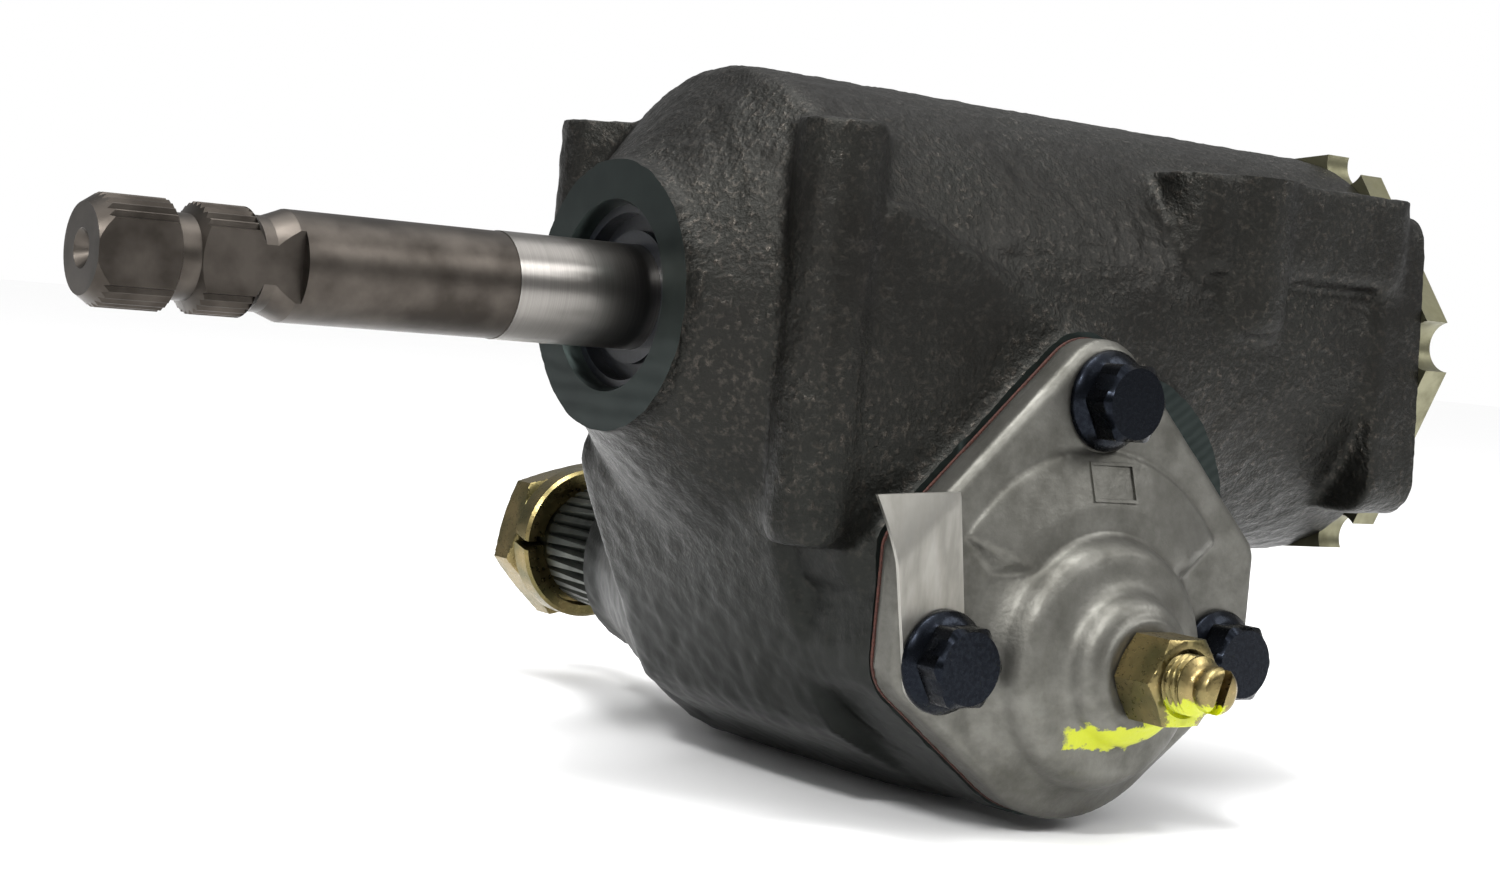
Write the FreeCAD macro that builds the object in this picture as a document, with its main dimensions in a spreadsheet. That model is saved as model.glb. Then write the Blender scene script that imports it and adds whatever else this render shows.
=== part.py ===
import FreeCAD, Part
import math
import os
import re

import Sketcher
from FreeCAD import Placement, Rotation, Vector

# Recirculating-ball manual steering gearbox.
# Row frame: X along the worm shaft (input end at -X), Y along the sector shaft (side cover at -Y,
# steering-arm end at +Y), Z up. The origin is the middle of the four frame bolts, on their pads.

os.makedirs("parts", exist_ok=True)
DOC = FreeCAD.newDocument("steering_gearbox")

# Driving dimensions, millimetres and degrees. Places along the worm shaft are counted from the
# machined face of the input boss; places along the sector shaft from the worm shaft's own plane.
SIZES = {
    # frame pads and bolts
    "pad_height": 35, "front_hole_x": 21, "frame_hole_pitch_x": 105, "frame_hole_pitch_y": 80,
    "frame_hole_radius": 4.65, "frame_hole_depth": 17, "front_pad_radius": 8.5, "near_column_length": 77, "far_column_length": 28,
    "web_shift": 10, "web_reach": 28, "rear_pad_radius": 10, "rear_pad_length": 32, "rear_lug_reach": 38.3,
    "rear_lug_radius": 8.5, "rear_lug_start": 106, "rear_lug_end": 174, "rear_lug_thickness": 20,
    "lug_root_reach": 25, "lug_root_radius": 5, "spot_face_radius": 13, "spot_face_height": 8,
    # barrel of the casting
    "boss_radius": 25.7, "boss_length": 2.5, "flare_end_radius": 45.4, "shoulder_x": 22, "shoulder_length": 1,
    "barrel_front_radius": 46.4, "barrel_rear_radius": 44.7, "barrel_length": 177, "rim_chamfer": 1,
    "cavity_radius": 30.5, "collar_length": 14, "rim_lug_radius": 8, "rim_lug_reach": 39.5,
    "rim_lug_drop": 24.5, "rim_top_radius": 7.5, "rim_top_reach": 37, "rim_top_rise": 25,
    # sector chamber of the casting
    "sector_x": 77.2, "centre_distance": 60.6, "chamber_radius": 33.6, "chamber_near": 29, "chamber_far": 35.5,
    "knee_reach": 47.9, "knee_rise": 27.4, "knee_radius": 11.7, "waist_reach": 28.3, "waist_drop": 7.8,
    "waist_radius": 14.6, "arm_boss_shoulder": 46.3, "arm_boss_knee": 51.6, "arm_boss_knee_radius": 32.4,
    "arm_boss_waist": 81.9, "arm_boss_waist_radius": 21.4, "arm_boss_end": 88.3, "arm_boss_radius": 21.1,
    "cover_pad_y": 48, "cover_pad_depth": 26.4, "cover_pad_margin": 1.2, "pad_bump_radius": 29.5,
    "pad_bump_shift": 12.3, "pad_bump_rise": 25.7, "flank_reach": 46.2, "flank_depth": 31, "flank_front": 27.5,
    "flank_rise": 2, "flank_drop": 32.5, "flank_radius": 8.5, "flank_corner_x": 40, "flank_corner_drop": 36,
    "flank_corner_radius": 5, "cavity_half_width": 19.5, "opening_radius": 26.5,
    "opening_top_radius": 30.2, "opening_top_rise": 10, "swing_radius": 25.5, "swing_reach": 12.5,
    "swing_rise": 10, "swing_low_radius": 26.5, "slot_end_gap": 1, "thread_relief": 1, "rack_slot_depth": 38.7,
    # side cover, its gasket and bolts
    "gasket_thickness": 0.5, "cover_thickness": 7, "cover_chamfer": 1.6, "top_bolt_rise": 49.1,
    "side_bolt_reach": 35.6, "top_lobe_radius": 11.5, "side_lobe_radius": 9.8, "corner_reach": 40,
    "corner_rise": 19.5, "corner_radius": 5.3, "cover_bottom_radius": 31, "plateau_radius": 39.1,
    "plateau_height": 4.2, "plateau_span": 112, "hub_foot_radius": 29.3, "hub_skirt_radius": 24.2, "hub_skirt_rise": 4.2, "hub_dish_radius": 15.6, "hub_dish": 66.3,
    "hub_neck": 69.5, "plateau_inner": 29.3, "plateau_rim": 1, "bolt_seat_radius": 10, "bolt_seat_depth": 6,
    "hub_neck_radius": 13.5,
    "hub_radius": 22.1, "hub_edge": 64.1, "hub_shoulder_radius": 20, "hub_shoulder": 65.3, "hub_top_radius": 10.2,
    "hub_step": 71.9, "hub_height": 72.9, "cover_bore_depth": 13.3, "bolt_radius": 4.76, "bolt_length": 16,
    "bolt_hole_depth": 8.8, "bolt_clearance": 0.35, "bolt_flats": 14.29, "bolt_head_height": 8.4,
    "flange_radius": 9.6, "flange_thickness": 1.9, "tag_width": 14.3, "tag_rise": 30.3, "tag_drop": 9.3,
    "tag_right": 7.2, "tag_lean": 6.2, "tag_thickness": 0.8,
    # worm shaft
    "shaft_tip_x": 102.9, "tip_chamfer": 2.6, "centre_hole_radius": 3.4, "centre_hole_depth": 2.4,
    "drill_radius": 1.6, "drill_depth": 6.5, "tip_radius": 7.8, "land_radius": 9.525, "land_one_end": 89.4,
    "clamp_groove_end": 83.7, "clamp_groove_radius": 7.4, "land_two_end": 75, "neck_start": 73.6,
    "neck_radius": 8.3, "neck_end": 71.4, "plain_start": 67.5, "plain_radius": 9.8, "ground_start": 24.9,
    "ground_radius": 9.95, "flat_distance": 7.6, "flat_end": 66.5, "serrations": 36, "serration_depth": 0.65,
    "worm_radius": 13.3, "worm_tail_x": 163.6,
    # ball screw and steering teeth
    "worm_lead": 8, "steering_ratio": 24, "ball_radius": 3.175, "ball_circle_radius": 14,
    "groove_radius": 3.3, "circuit_turns": 2.5, "circuit_gap": 4, "ball_pitch": 6.7, "groove_half_length": 45,
    "nut_half_length": 32, "nut_half_width": 20.5, "nut_top": 19, "nut_corner_radius": 8,
    "nut_bore_radius": 14.7, "pressure_angle": 27, "tooth_addendum": 5.2, "root_clearance": 1.2,
    "flank_clearance": 0.26, "teeth_half_width": 17, "guide_radius": 4.1, "guide_bend": 5,
    "guide_leg_low": 9.2, "clamp_width": 9, "clamp_thickness": 1.2, "clamp_hat_half_length": 21,
    "clamp_half_length": 31.5, "clamp_screw_reach": 26.7, "clamp_screw_radius": 2.4, "clamp_screw_length": 5,
    "clamp_screw_head_radius": 3.8, "clamp_screw_head": 2.4,
    # worm bearings, adjuster and input seal
    "race_ball_radius": 2.8, "race_circle_radius": 14.8, "front_race_x": 20.2, "rear_race_x": 153.8,
    "cup_radius": 21.5, "cup_seat": 6.2, "cup_length": 10.5, "cup_lip_radius": 13, "cup_wall": 1.5, "race_balls": 10, "cage_reach": 2.5,
    "cage_thickness": 1.2, "cage_gap": 0.15, "throat_radius": 12, "plug_thread_radius": 34, "plug_start_x": 147.8,
    "plug_face_x": 186, "plug_floor_x": 168, "plug_bore_radius": 12.5, "plug_hex_flats": 38,
    "plug_hex_depth": 9, "retainer_bore_radius": 15.5, "ring_start_x": 177.2,
    "ring_thickness": 6.8, "ring_flat_distance": 43.7, "ring_notch_radius": 5.4, "ring_notch_bottom": 42.7,
    "ring_turn": 24.3, "seal_radius": 17.4, "seal_face_x": 3.5, "seal_length": 7.5, "seal_lip_radius": 12.6,
    "seal_dish": 1.6, "seal_mouth": 1.2, "seal_mouth_radius": 18.1,
    # sector shaft, its bearings and lash adjuster
    "journal_radius": 15.875, "journal_top": 60.7, "sector_hub_radius": 20, "sector_tail": 135.2,
    "spline_start": 92.2, "spline_end": 115.6, "spline_radius": 15.6, "spline_small_radius": 14.2,
    "spline_teeth": 32, "spline_depth": 0.8, "arm_thread_radius": 11.1, "thread_chamfer": 1.2,
    "bushing_radius": 17.4, "bushing_inset": 1, "bushing_start": 36, "bushing_length": 46, "arm_seal_radius": 19.2,
    "arm_seal_length": 5, "slot_low": 54.4, "slot_width": 17, "slot_neck_width": 11.8,
    "lash_head_radius": 7.9, "lash_head_thickness": 3.2, "lash_thread_radius": 5.55, "lash_thread_end": 86.2,
    "lash_neck_end": 88.2, "lash_neck_radius": 3.6, "lash_tip_radius": 4.3, "lash_end": 91.9,
    "driver_slot_width": 1.7, "driver_slot_depth": 2.4, "shim_thickness": 0.7, "lock_nut_flats": 15.875,
    "lock_nut_height": 10, "arm_washer_near": 118.9, "arm_washer_radius": 18, "arm_washer_thickness": 6,
    "arm_nut_flats": 33.34, "arm_nut_thickness": 9, "arm_nut_turn": 0.27, "washer_gap": 2.2,
    # clearances
    "running_fit": 0.04, "thread_gap": 0.05, "seat_gap": 0.02, "overrun": 1,
}

SHEET = DOC.addObject("Spreadsheet::Sheet", "Sizes")
for row, (alias, number) in enumerate(SIZES.items(), start=1):
    SHEET.set("A%d" % row, alias)
    SHEET.set("B%d" % row, str(number))
    SHEET.setAlias("B%d" % row, alias)
DOC.recompute()

WORD = re.compile(r"[A-Za-z_]+")


def formula(text):
    """Text with the name of each size turned into a reference to its cell."""
    return WORD.sub(lambda word: "Sizes." + word.group(0) if word.group(0) in SIZES else word.group(0), text)


def value(text):
    """Number that a formula of sizes gives now."""
    number = SHEET.evalExpression(formula(text))
    return float(getattr(number, "Value", number))


# Lengths that several pieces share, as formulas of the sizes.
TEETH_IN_TURN = 10
PITCH_RADIUS = "(steering_ratio * worm_lead / (2 * pi))"
FACE_X = "(-front_hole_x - frame_hole_pitch_x / 2)"
COVER_BACK = "(cover_pad_y + gasket_thickness)"
COVER_FACE = "(cover_pad_y + gasket_thickness + cover_thickness)"
REAR_HOLE_X = "(front_hole_x + frame_hole_pitch_x)"
HOLE_REACH = "frame_hole_pitch_y / 2"
BOLT_PLACES = (("0", "top_bolt_rise"), ("-side_bolt_reach", "0"), ("side_bolt_reach", "0"))
CIRCUIT_LENGTH = "(circuit_turns * worm_lead)"
CUP_END = "(front_race_x - cup_seat + cup_length)"
GUIDE_TOP = "(nut_top + guide_radius)"
BORE_FIT_RADIUS = "(journal_radius + running_fit)"


NODES = []


def node(thing, label):
    """Keep an object as a sub-part under its own name."""
    thing.Label = label
    NODES.append(thing)
    return thing


def lay(thing, rotation, x, y, z):
    """Place an object by three formulas."""
    thing.Placement = Placement(Vector(), rotation)
    for axis, text in zip("xyz", (x, y, z)):
        thing.setExpression("Placement.Base." + axis, formula(text))
    return thing


def on_casting(thing):
    """Own frame at the centre of the input boss's face, parallel to the row frame."""
    return lay(thing, Rotation(), FACE_X, "0", "-pad_height")


def on_worm_axis(thing):
    """Own Z along the worm shaft, own X down, counted from the input boss's face."""
    return lay(thing, Rotation(Vector(0, 1, 0), 90), FACE_X, "0", "-pad_height")


def on_sector_axis(thing):
    """Own Z along the sector shaft, out through the cover, own Y up."""
    return lay(thing, Rotation(Vector(1, 0, 0), 90), FACE_X + " + sector_x", "0",
               "-pad_height - centre_distance")


def origin_plane(body, role):
    for feature in body.Origin.OriginFeatures:
        if feature.Role == role:
            return feature
    raise ValueError("no plane " + role)


def new_sketch(body, role, lift="0", x="0", y="0"):
    """Sketch on one of the body's own planes, lifted along its normal and shifted in its plane."""
    sketch = body.newObject("Sketcher::SketchObject", "sketch")
    sketch.AttachmentSupport = [(origin_plane(body, role), "")]
    sketch.MapMode = "FlatFace"
    for axis, text in zip("xyz", (x, y, lift)):
        sketch.setExpression("AttachmentOffset.Base." + axis, formula(text))
    return sketch


def hold(sketch, geometry, point, x, y):
    """Hold a point by its two distances from the sketch's origin."""
    for kind, axis, text in (("DistanceX", -2, x), ("DistanceY", -1, y)):
        number = value(text)
        if abs(number) < 1e-9:
            sketch.addConstraint(Sketcher.Constraint("PointOnObject", geometry, point, axis))
            continue
        index = sketch.addConstraint(Sketcher.Constraint(kind, -1, 1, geometry, point, number))
        sketch.setExpression("Constraints[%d]" % index, formula(text))


def outline(sketch, corners):
    """Closed outline of straight lines through corners given as pairs of formulas."""
    places = [Vector(value(x), value(y), 0) for x, y in corners]
    first = sketch.GeometryCount
    count = len(corners)
    for index in range(count):
        sketch.addGeometry(Part.LineSegment(places[index], places[(index + 1) % count]))
    for index in range(count):
        following = first + (index + 1) % count
        sketch.addConstraint(Sketcher.Constraint("Coincident", first + index, 2, following, 1))
    for index, (x, y) in enumerate(corners):
        hold(sketch, first + index, 1, x, y)


def circle(sketch, x, y, radius):
    index = sketch.addGeometry(Part.Circle(Vector(value(x), value(y), 0), Vector(0, 0, 1), value(radius)))
    constraint = sketch.addConstraint(Sketcher.Constraint("Radius", index, value(radius)))
    sketch.setExpression("Constraints[%d]" % constraint, formula(radius))
    hold(sketch, index, 3, x, y)


def belt_angles(wheels):
    """Direction of the belt's outward normal on its way from each wheel to the next one."""
    angles = []
    for index, (x, y, radius) in enumerate(wheels):
        next_x, next_y, next_radius = wheels[(index + 1) % len(wheels)]
        distance = math.hypot(next_x - x, next_y - y)
        heading = math.atan2(next_y - y, next_x - x)
        angles.append(heading - math.acos((radius - next_radius) / distance))
    return angles


def belt(sketch, wheels):
    """Outline like a belt run round wheels, listed anticlockwise as x, y and radius formulas."""
    numbers = [tuple(value(text) for text in wheel) for wheel in wheels]
    angles = belt_angles(numbers)
    count = len(wheels)
    arcs = []
    for index, (x, y, radius) in enumerate(numbers):
        start = angles[index - 1]
        end = angles[index]
        while end < start:
            end += 2 * math.pi
        rim = Part.Circle(Vector(x, y, 0), Vector(0, 0, 1), radius)
        arcs.append(sketch.addGeometry(Part.ArcOfCircle(rim, start, end)))
    for index in range(count):
        following = (index + 1) % count
        normal = Vector(math.cos(angles[index]), math.sin(angles[index]), 0)
        leave = Vector(*numbers[index][:2], 0) + normal * numbers[index][2]
        reach = Vector(*numbers[following][:2], 0) + normal * numbers[following][2]
        line = sketch.addGeometry(Part.LineSegment(leave, reach))
        sketch.addConstraint(Sketcher.Constraint("Tangent", arcs[index], 2, line, 1))
        sketch.addConstraint(Sketcher.Constraint("Tangent", line, 2, arcs[following], 1))
    for arc, (x, y, radius) in zip(arcs, wheels):
        hold(sketch, arc, 3, x, y)
        constraint = sketch.addConstraint(Sketcher.Constraint("Radius", arc, value(radius)))
        sketch.setExpression("Constraints[%d]" % constraint, formula(radius))


def grow(body, sketch, length, reverse=False):
    """Pad of a sketch along its normal, or against it."""
    pad = body.newObject("PartDesign::Pad", "pad")
    pad.Profile = sketch
    pad.Reversed = reverse
    pad.setExpression("Length", formula(length))
    DOC.recompute()
    return pad


def sink(body, sketch, length, reverse=False):
    """Pocket of a sketch against its normal, or along it; it has to take material away."""
    before = body.Shape.Volume
    pocket = body.newObject("PartDesign::Pocket", "pocket")
    pocket.Profile = sketch
    pocket.Reversed = reverse
    pocket.setExpression("Length", formula(length))
    DOC.recompute()
    if body.Shape.Volume > before - 1:
        raise ValueError("a pocket cut nothing in " + body.Label)
    return pocket


def spin(body, sketch, kind="PartDesign::Revolution", axis="V_Axis"):
    """Full turn of a sketch, which adds or, as a groove, cuts."""
    turn = body.newObject(kind, "turn")
    turn.Profile = sketch
    turn.ReferenceAxis = (sketch, [axis])
    turn.Angle = 360
    DOC.recompute()
    return turn


def turned(label, corners, frame):
    """Body turned about its own Z through corners given as radius and height."""
    body = DOC.addObject("PartDesign::Body", label)
    sketch = new_sketch(body, "XZ_Plane")
    outline(sketch, corners)
    spin(body, sketch)
    return frame(body)


def hexagon(sketch, flats, x="0", y="0"):
    """Hexagon with two flats facing up and down."""
    corners = []
    for step in range(6):
        angle = math.radians(60 * step)
        across = "%.9f * %s" % (math.cos(angle) / math.sqrt(3), flats)
        along = "%.9f * %s" % (math.sin(angle) / math.sqrt(3), flats)
        corners.append(("%s + %s" % (x, across), "%s + %s" % (y, along)))
    outline(sketch, corners)


def combine(kind, name, base, tool):
    """Boolean of two objects; the tool is a list for a fusion or a common part."""
    result = DOC.addObject(kind, name)
    if "Multi" in kind:
        result.Shapes = [base] + list(tool)
    else:
        result.Base = base
        result.Tool = tool
    DOC.recompute()
    return result


def solid_feature(name, shape, frame):
    """Piece whose shape is worked out from the sheet's values."""
    thing = DOC.addObject("Part::Feature", name)
    thing.Shape = shape
    frame(thing)
    DOC.recompute()
    return thing


def polygon(sketch, points):
    """Closed outline through worked-out points, blocked in place."""
    first = sketch.GeometryCount
    ends = points[1:] + points[:1]
    for start, end in zip(points, ends):
        sketch.addGeometry(Part.LineSegment(Vector(*start, 0), Vector(*end, 0)))
    for index in range(len(points)):
        following = first + (index + 1) % len(points)
        sketch.addConstraint(Sketcher.Constraint("Coincident", first + index, 2, following, 1))


def swept(rings):
    """Solid skinned with flat faces over a row of polygons with equal numbers of corners."""
    faces = [Part.Face(Part.makePolygon(ring + ring[:1])) for ring in (rings[0], rings[-1])]
    for ring, following in zip(rings, rings[1:]):
        for index, corner in enumerate(ring):
            beside = (index + 1) % len(ring)
            for triple in ((corner, ring[beside], following[beside]), (corner, following[beside], following[index])):
                faces.append(Part.Face(Part.makePolygon(list(triple) + [corner])))
    return Part.makeSolid(Part.makeShell(faces))


def ring_of(centre, first, second, radius, sides=8):
    """Polygon with a given inner radius round a centre, in the plane of two directions."""
    corners = []
    for step in range(sides):
        angle = 2 * math.pi * (step + 0.5) / sides
        reach = radius / math.cos(math.pi / sides)
        corners.append(centre + first * (reach * math.cos(angle)) + second * (reach * math.sin(angle)))
    return corners


LEAD = value("worm_lead")
NUT_LOW = value("sector_x - circuit_gap / 2") - value(CIRCUIT_LENGTH)
FACETS_PER_TURN = 12


def helix_point(angle, radius):
    """Point of the ball screw's helix; at three quarters of a turn it meets a return guide."""
    along = NUT_LOW + LEAD * (angle / (2 * math.pi) - 0.75)
    return Vector(radius * math.cos(angle), radius * math.sin(angle), along)


def helix_groove(start, end, radius, section):
    """Faceted groove cutter along the helix from one place on the shaft to another."""
    first = 2 * math.pi * ((start - NUT_LOW) / LEAD + 0.75)
    steps = round((end - start) / LEAD * FACETS_PER_TURN)
    rings = []
    for step in range(steps + 1):
        angle = first + 2 * math.pi * step / FACETS_PER_TURN
        outward = Vector(math.cos(angle), math.sin(angle), 0)
        tangent = Vector(-radius * math.sin(angle), radius * math.cos(angle), LEAD / (2 * math.pi)).normalize()
        rings.append(ring_of(helix_point(angle, radius), outward, tangent.cross(outward), section))
    return swept(rings)


def ball(centre, radius, columns=8):
    """Ball with flat facets, its corners on the true sphere."""
    rows = []
    for latitude in (-45, 0, 45):
        level = radius * math.sin(math.radians(latitude))
        reach = radius * math.cos(math.radians(latitude))
        rows.append([centre + Vector(reach * math.cos(turn), reach * math.sin(turn), level)
                     for turn in (2 * math.pi * column / columns for column in range(columns))])
    faces = []
    for pole, row in ((-radius, rows[0]), (radius, rows[-1])):
        tip = centre + Vector(0, 0, pole)
        for index, corner in enumerate(row):
            faces.append(Part.Face(Part.makePolygon([tip, corner, row[(index + 1) % columns], tip])))
    for row, following in zip(rows, rows[1:]):
        for index, corner in enumerate(row):
            beside = (index + 1) % columns
            faces.append(Part.Face(Part.makePolygon(
                [corner, row[beside], following[beside], following[index], corner])))
    return Part.makeSolid(Part.makeShell(faces))


# gear_housing: the iron casting
housing = DOC.addObject("PartDesign::Body", "housing_body")
sketch = new_sketch(housing, "XZ_Plane")
outline(sketch, [
    ("0", "0"), ("0", "boss_radius"), ("boss_length", "boss_radius"), ("shoulder_x", "flare_end_radius"),
    ("shoulder_x + shoulder_length", "barrel_front_radius"), ("barrel_length - rim_chamfer", "barrel_rear_radius"),
    ("barrel_length", "barrel_rear_radius - rim_chamfer"), ("barrel_length", "0")])
spin(housing, sketch, axis="H_Axis")


def on_sector(body, lift):
    """Sketch square to the sector shaft, its origin on the shaft's axis."""
    return new_sketch(body, "XZ_Plane", lift, "sector_x", "-centre_distance")


def cover_wheels(margin="0"):
    """Rounded corners of the side cover's outline, widened all round by a margin."""
    wheels = [("0", "0", "cover_bottom_radius"), ("side_bolt_reach", "0", "side_lobe_radius"),
              ("corner_reach", "corner_rise", "corner_radius"), ("0", "top_bolt_rise", "top_lobe_radius"),
              ("-corner_reach", "corner_rise", "corner_radius"), ("-side_bolt_reach", "0", "side_lobe_radius")]
    return [(x, y, radius + " + " + margin) for x, y, radius in wheels]


OPENING_WHEELS = [("0", "0", "opening_radius"), ("0", "opening_top_rise", "opening_top_radius")]

sketch = on_sector(housing, "chamber_near")
belt(sketch, [("-knee_reach", "knee_rise", "knee_radius"), ("-waist_reach", "-waist_drop", "waist_radius"),
              ("0", "0", "chamber_radius"), ("waist_reach", "-waist_drop", "waist_radius"),
              ("knee_reach", "knee_rise", "knee_radius")])
grow(housing, sketch, "chamber_near + chamber_far", reverse=True)

sketch = on_sector(housing, "cover_pad_y")
belt(sketch, cover_wheels("cover_pad_margin"))
grow(housing, sketch, "cover_pad_depth", reverse=True)
sketch = on_sector(housing, "cover_pad_y")
circle(sketch, "pad_bump_shift", "pad_bump_rise", "pad_bump_radius")
grow(housing, sketch, "cover_pad_depth", reverse=True)

sketch = new_sketch(housing, "XY_Plane", "-centre_distance", "sector_x")
outline(sketch, [
    ("0", "0"), ("chamber_radius", "0"), ("chamber_radius", "arm_boss_shoulder"),
    ("arm_boss_knee_radius", "arm_boss_knee"), ("arm_boss_waist_radius", "arm_boss_waist"),
    ("arm_boss_radius", "arm_boss_end"), ("0", "arm_boss_end")])
spin(housing, sketch)

for side, column_length in ((1, "far_column_length"), (-1, "near_column_length")):
    reach = "%d * %s" % (side, HOLE_REACH)
    sketch = new_sketch(housing, "XY_Plane", "pad_height")
    belt(sketch, [("front_hole_x", reach, "front_pad_radius"),
                  ("front_hole_x + web_shift", "%d * web_reach" % side, "front_pad_radius")])
    grow(housing, sketch, column_length, reverse=True)
    sketch = new_sketch(housing, "XY_Plane", "pad_height")
    circle(sketch, REAR_HOLE_X, reach, "rear_pad_radius")
    grow(housing, sketch, "rear_pad_length", reverse=True)
    wheels = [("rear_lug_end - rear_lug_radius", "%d * lug_root_reach" % side, "lug_root_radius"),
              ("rear_lug_end - rear_lug_radius", "%d * rear_lug_reach" % side, "rear_lug_radius"),
              ("rear_lug_start + rear_lug_radius", "%d * rear_lug_reach" % side, "rear_lug_radius"),
              ("rear_lug_start + rear_lug_radius", "%d * lug_root_reach" % side, "lug_root_radius")]
    sketch = new_sketch(housing, "XY_Plane", "pad_height")
    belt(sketch, wheels[::side])
    grow(housing, sketch, "rear_lug_thickness", reverse=True)

# Flat flank between the near front column and the side cover
sketch = new_sketch(housing, "XZ_Plane", "flank_reach")
belt(sketch, [("flank_front", "-flank_drop", "flank_radius"),
              ("flank_corner_x", "-flank_corner_drop", "flank_corner_radius"),
              ("sector_x", "top_bolt_rise - centre_distance", "top_lobe_radius + cover_pad_margin"),
              ("flank_front", "flank_rise", "flank_radius")])
grow(housing, sketch, "flank_depth", reverse=True)

sketch = new_sketch(housing, "YZ_Plane", "barrel_length - collar_length")
belt(sketch, [("-rim_lug_reach", "-rim_lug_drop", "rim_lug_radius"), ("0", "-rim_lug_drop", "rim_lug_radius"),
              ("0", "rim_top_rise", "rim_top_radius"), ("-rim_top_reach", "rim_top_rise", "rim_top_radius")])
grow(housing, sketch, "collar_length")

# Machined faces and bores of the casting
sketch = new_sketch(housing, "XY_Plane", "pad_height + spot_face_height")
for x in ("front_hole_x", REAR_HOLE_X):
    for side in (1, -1):
        circle(sketch, x, "%d * %s" % (side, HOLE_REACH), "spot_face_radius")
sink(housing, sketch, "spot_face_height")

sketch = new_sketch(housing, "XZ_Plane")
outline(sketch, [
    ("0", "0"), ("0", "seal_mouth_radius"), ("seal_mouth", "seal_radius"),
    ("seal_face_x + seal_length", "seal_radius"), ("seal_face_x + seal_length", "throat_radius"),
    ("front_race_x - cup_seat", "throat_radius"), ("front_race_x - cup_seat", "cup_radius"),
    (CUP_END, "cup_radius"), (CUP_END, "cavity_radius"), ("plug_start_x - thread_relief", "cavity_radius"),
    ("plug_start_x - thread_relief", "plug_thread_radius + thread_gap"), ("barrel_length", "plug_thread_radius + thread_gap"),
    ("barrel_length", "0")])
spin(housing, sketch, "PartDesign::Groove", "H_Axis")

TRAVEL = "(%s * pi / 5)" % PITCH_RADIUS
sketch = new_sketch(housing, "XY_Plane")
slot_reach = "(nut_half_length + %s + slot_end_gap)" % TRAVEL
corners = [("sector_x - " + slot_reach, "-cavity_half_width"), ("sector_x + " + slot_reach, "-cavity_half_width"),
           ("sector_x + " + slot_reach, "cavity_half_width"), ("sector_x - " + slot_reach, "cavity_half_width")]
outline(sketch, corners)
sink(housing, sketch, "rack_slot_depth")

sketch = on_sector(housing, "cavity_half_width")
belt(sketch, [("-swing_reach", "swing_rise", "swing_radius"), ("0", "0", "swing_low_radius"),
              ("swing_reach", "swing_rise", "swing_radius")])
sink(housing, sketch, "2 * cavity_half_width")

sketch = on_sector(housing, "cover_pad_y")
belt(sketch, OPENING_WHEELS)
sink(housing, sketch, "cover_pad_y")

sketch = new_sketch(housing, "XY_Plane", "-centre_distance", "sector_x")
outline(sketch, [
    ("0", "0"), ("bushing_radius", "0"), ("bushing_radius", "arm_boss_end - arm_seal_length"),
    ("arm_seal_radius", "arm_boss_end - arm_seal_length"), ("arm_seal_radius", "arm_boss_end"),
    ("0", "arm_boss_end")])
spin(housing, sketch, "PartDesign::Groove")

sketch = on_sector(housing, "cover_pad_y")
for x, y in BOLT_PLACES:
    circle(sketch, x, y, "bolt_radius + thread_gap")
sink(housing, sketch, "bolt_hole_depth")

sketch = new_sketch(housing, "XY_Plane", "pad_height")
for x in ("front_hole_x", REAR_HOLE_X):
    for side in (1, -1):
        circle(sketch, x, "%d * %s" % (side, HOLE_REACH), "frame_hole_radius")
sink(housing, sketch, "frame_hole_depth")
node(on_casting(housing), "gear_housing")

# side_cover with its gasket
cover = DOC.addObject("PartDesign::Body", "cover_body")
sketch = new_sketch(cover, "XY_Plane", COVER_BACK)
belt(sketch, cover_wheels())
pad = grow(cover, sketch, "cover_thickness")
face_level = value(COVER_FACE)
rim = ["Edge%d" % (index + 1) for index, edge in enumerate(pad.Shape.Edges)
       if all(abs(corner.Z - face_level) < 1e-6 for corner in edge.Vertexes)]
chamfer = cover.newObject("PartDesign::Chamfer", "rim_chamfer")
chamfer.Base = (pad, rim)
chamfer.setExpression("Size", formula("cover_chamfer"))
DOC.recompute()

sketch = new_sketch(cover, "YZ_Plane")
outline(sketch, [("0", COVER_BACK), ("plateau_radius", COVER_BACK),
                 ("plateau_radius", COVER_FACE + " + plateau_rim"),
                 ("plateau_inner", COVER_FACE + " + plateau_height"), ("0", COVER_FACE + " + plateau_height")])
plateau = spin(cover, sketch)
plateau.Midplane = True
plateau.setExpression("Angle", formula("plateau_span"))

sketch = new_sketch(cover, "XZ_Plane")
outline(sketch, [
    ("0", COVER_BACK), ("hub_foot_radius", COVER_BACK), ("hub_foot_radius", COVER_FACE),
    ("hub_skirt_radius", COVER_FACE + " + hub_skirt_rise"), ("hub_radius", "hub_edge"),
    ("hub_shoulder_radius", "hub_shoulder"), ("hub_dish_radius", "hub_dish"), ("hub_neck_radius", "hub_neck"),
    ("hub_top_radius", "hub_step"), ("hub_top_radius", "hub_height"), ("0", "hub_height")])
spin(cover, sketch)
sketch = new_sketch(cover, "XZ_Plane")
bore_end = COVER_BACK + " + cover_bore_depth"
outline(sketch, [
    ("0", COVER_BACK), ("bushing_radius", COVER_BACK), ("bushing_radius", bore_end),
    ("lash_thread_radius + thread_gap", bore_end), ("lash_thread_radius + thread_gap", "hub_height"),
    ("0", "hub_height")])
spin(cover, sketch, "PartDesign::Groove")
sketch = new_sketch(cover, "XY_Plane", COVER_BACK)
for x, y in BOLT_PLACES:
    circle(sketch, x, y, "bolt_radius + bolt_clearance")
sink(cover, sketch, "cover_thickness + plateau_height", reverse=True)
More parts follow.
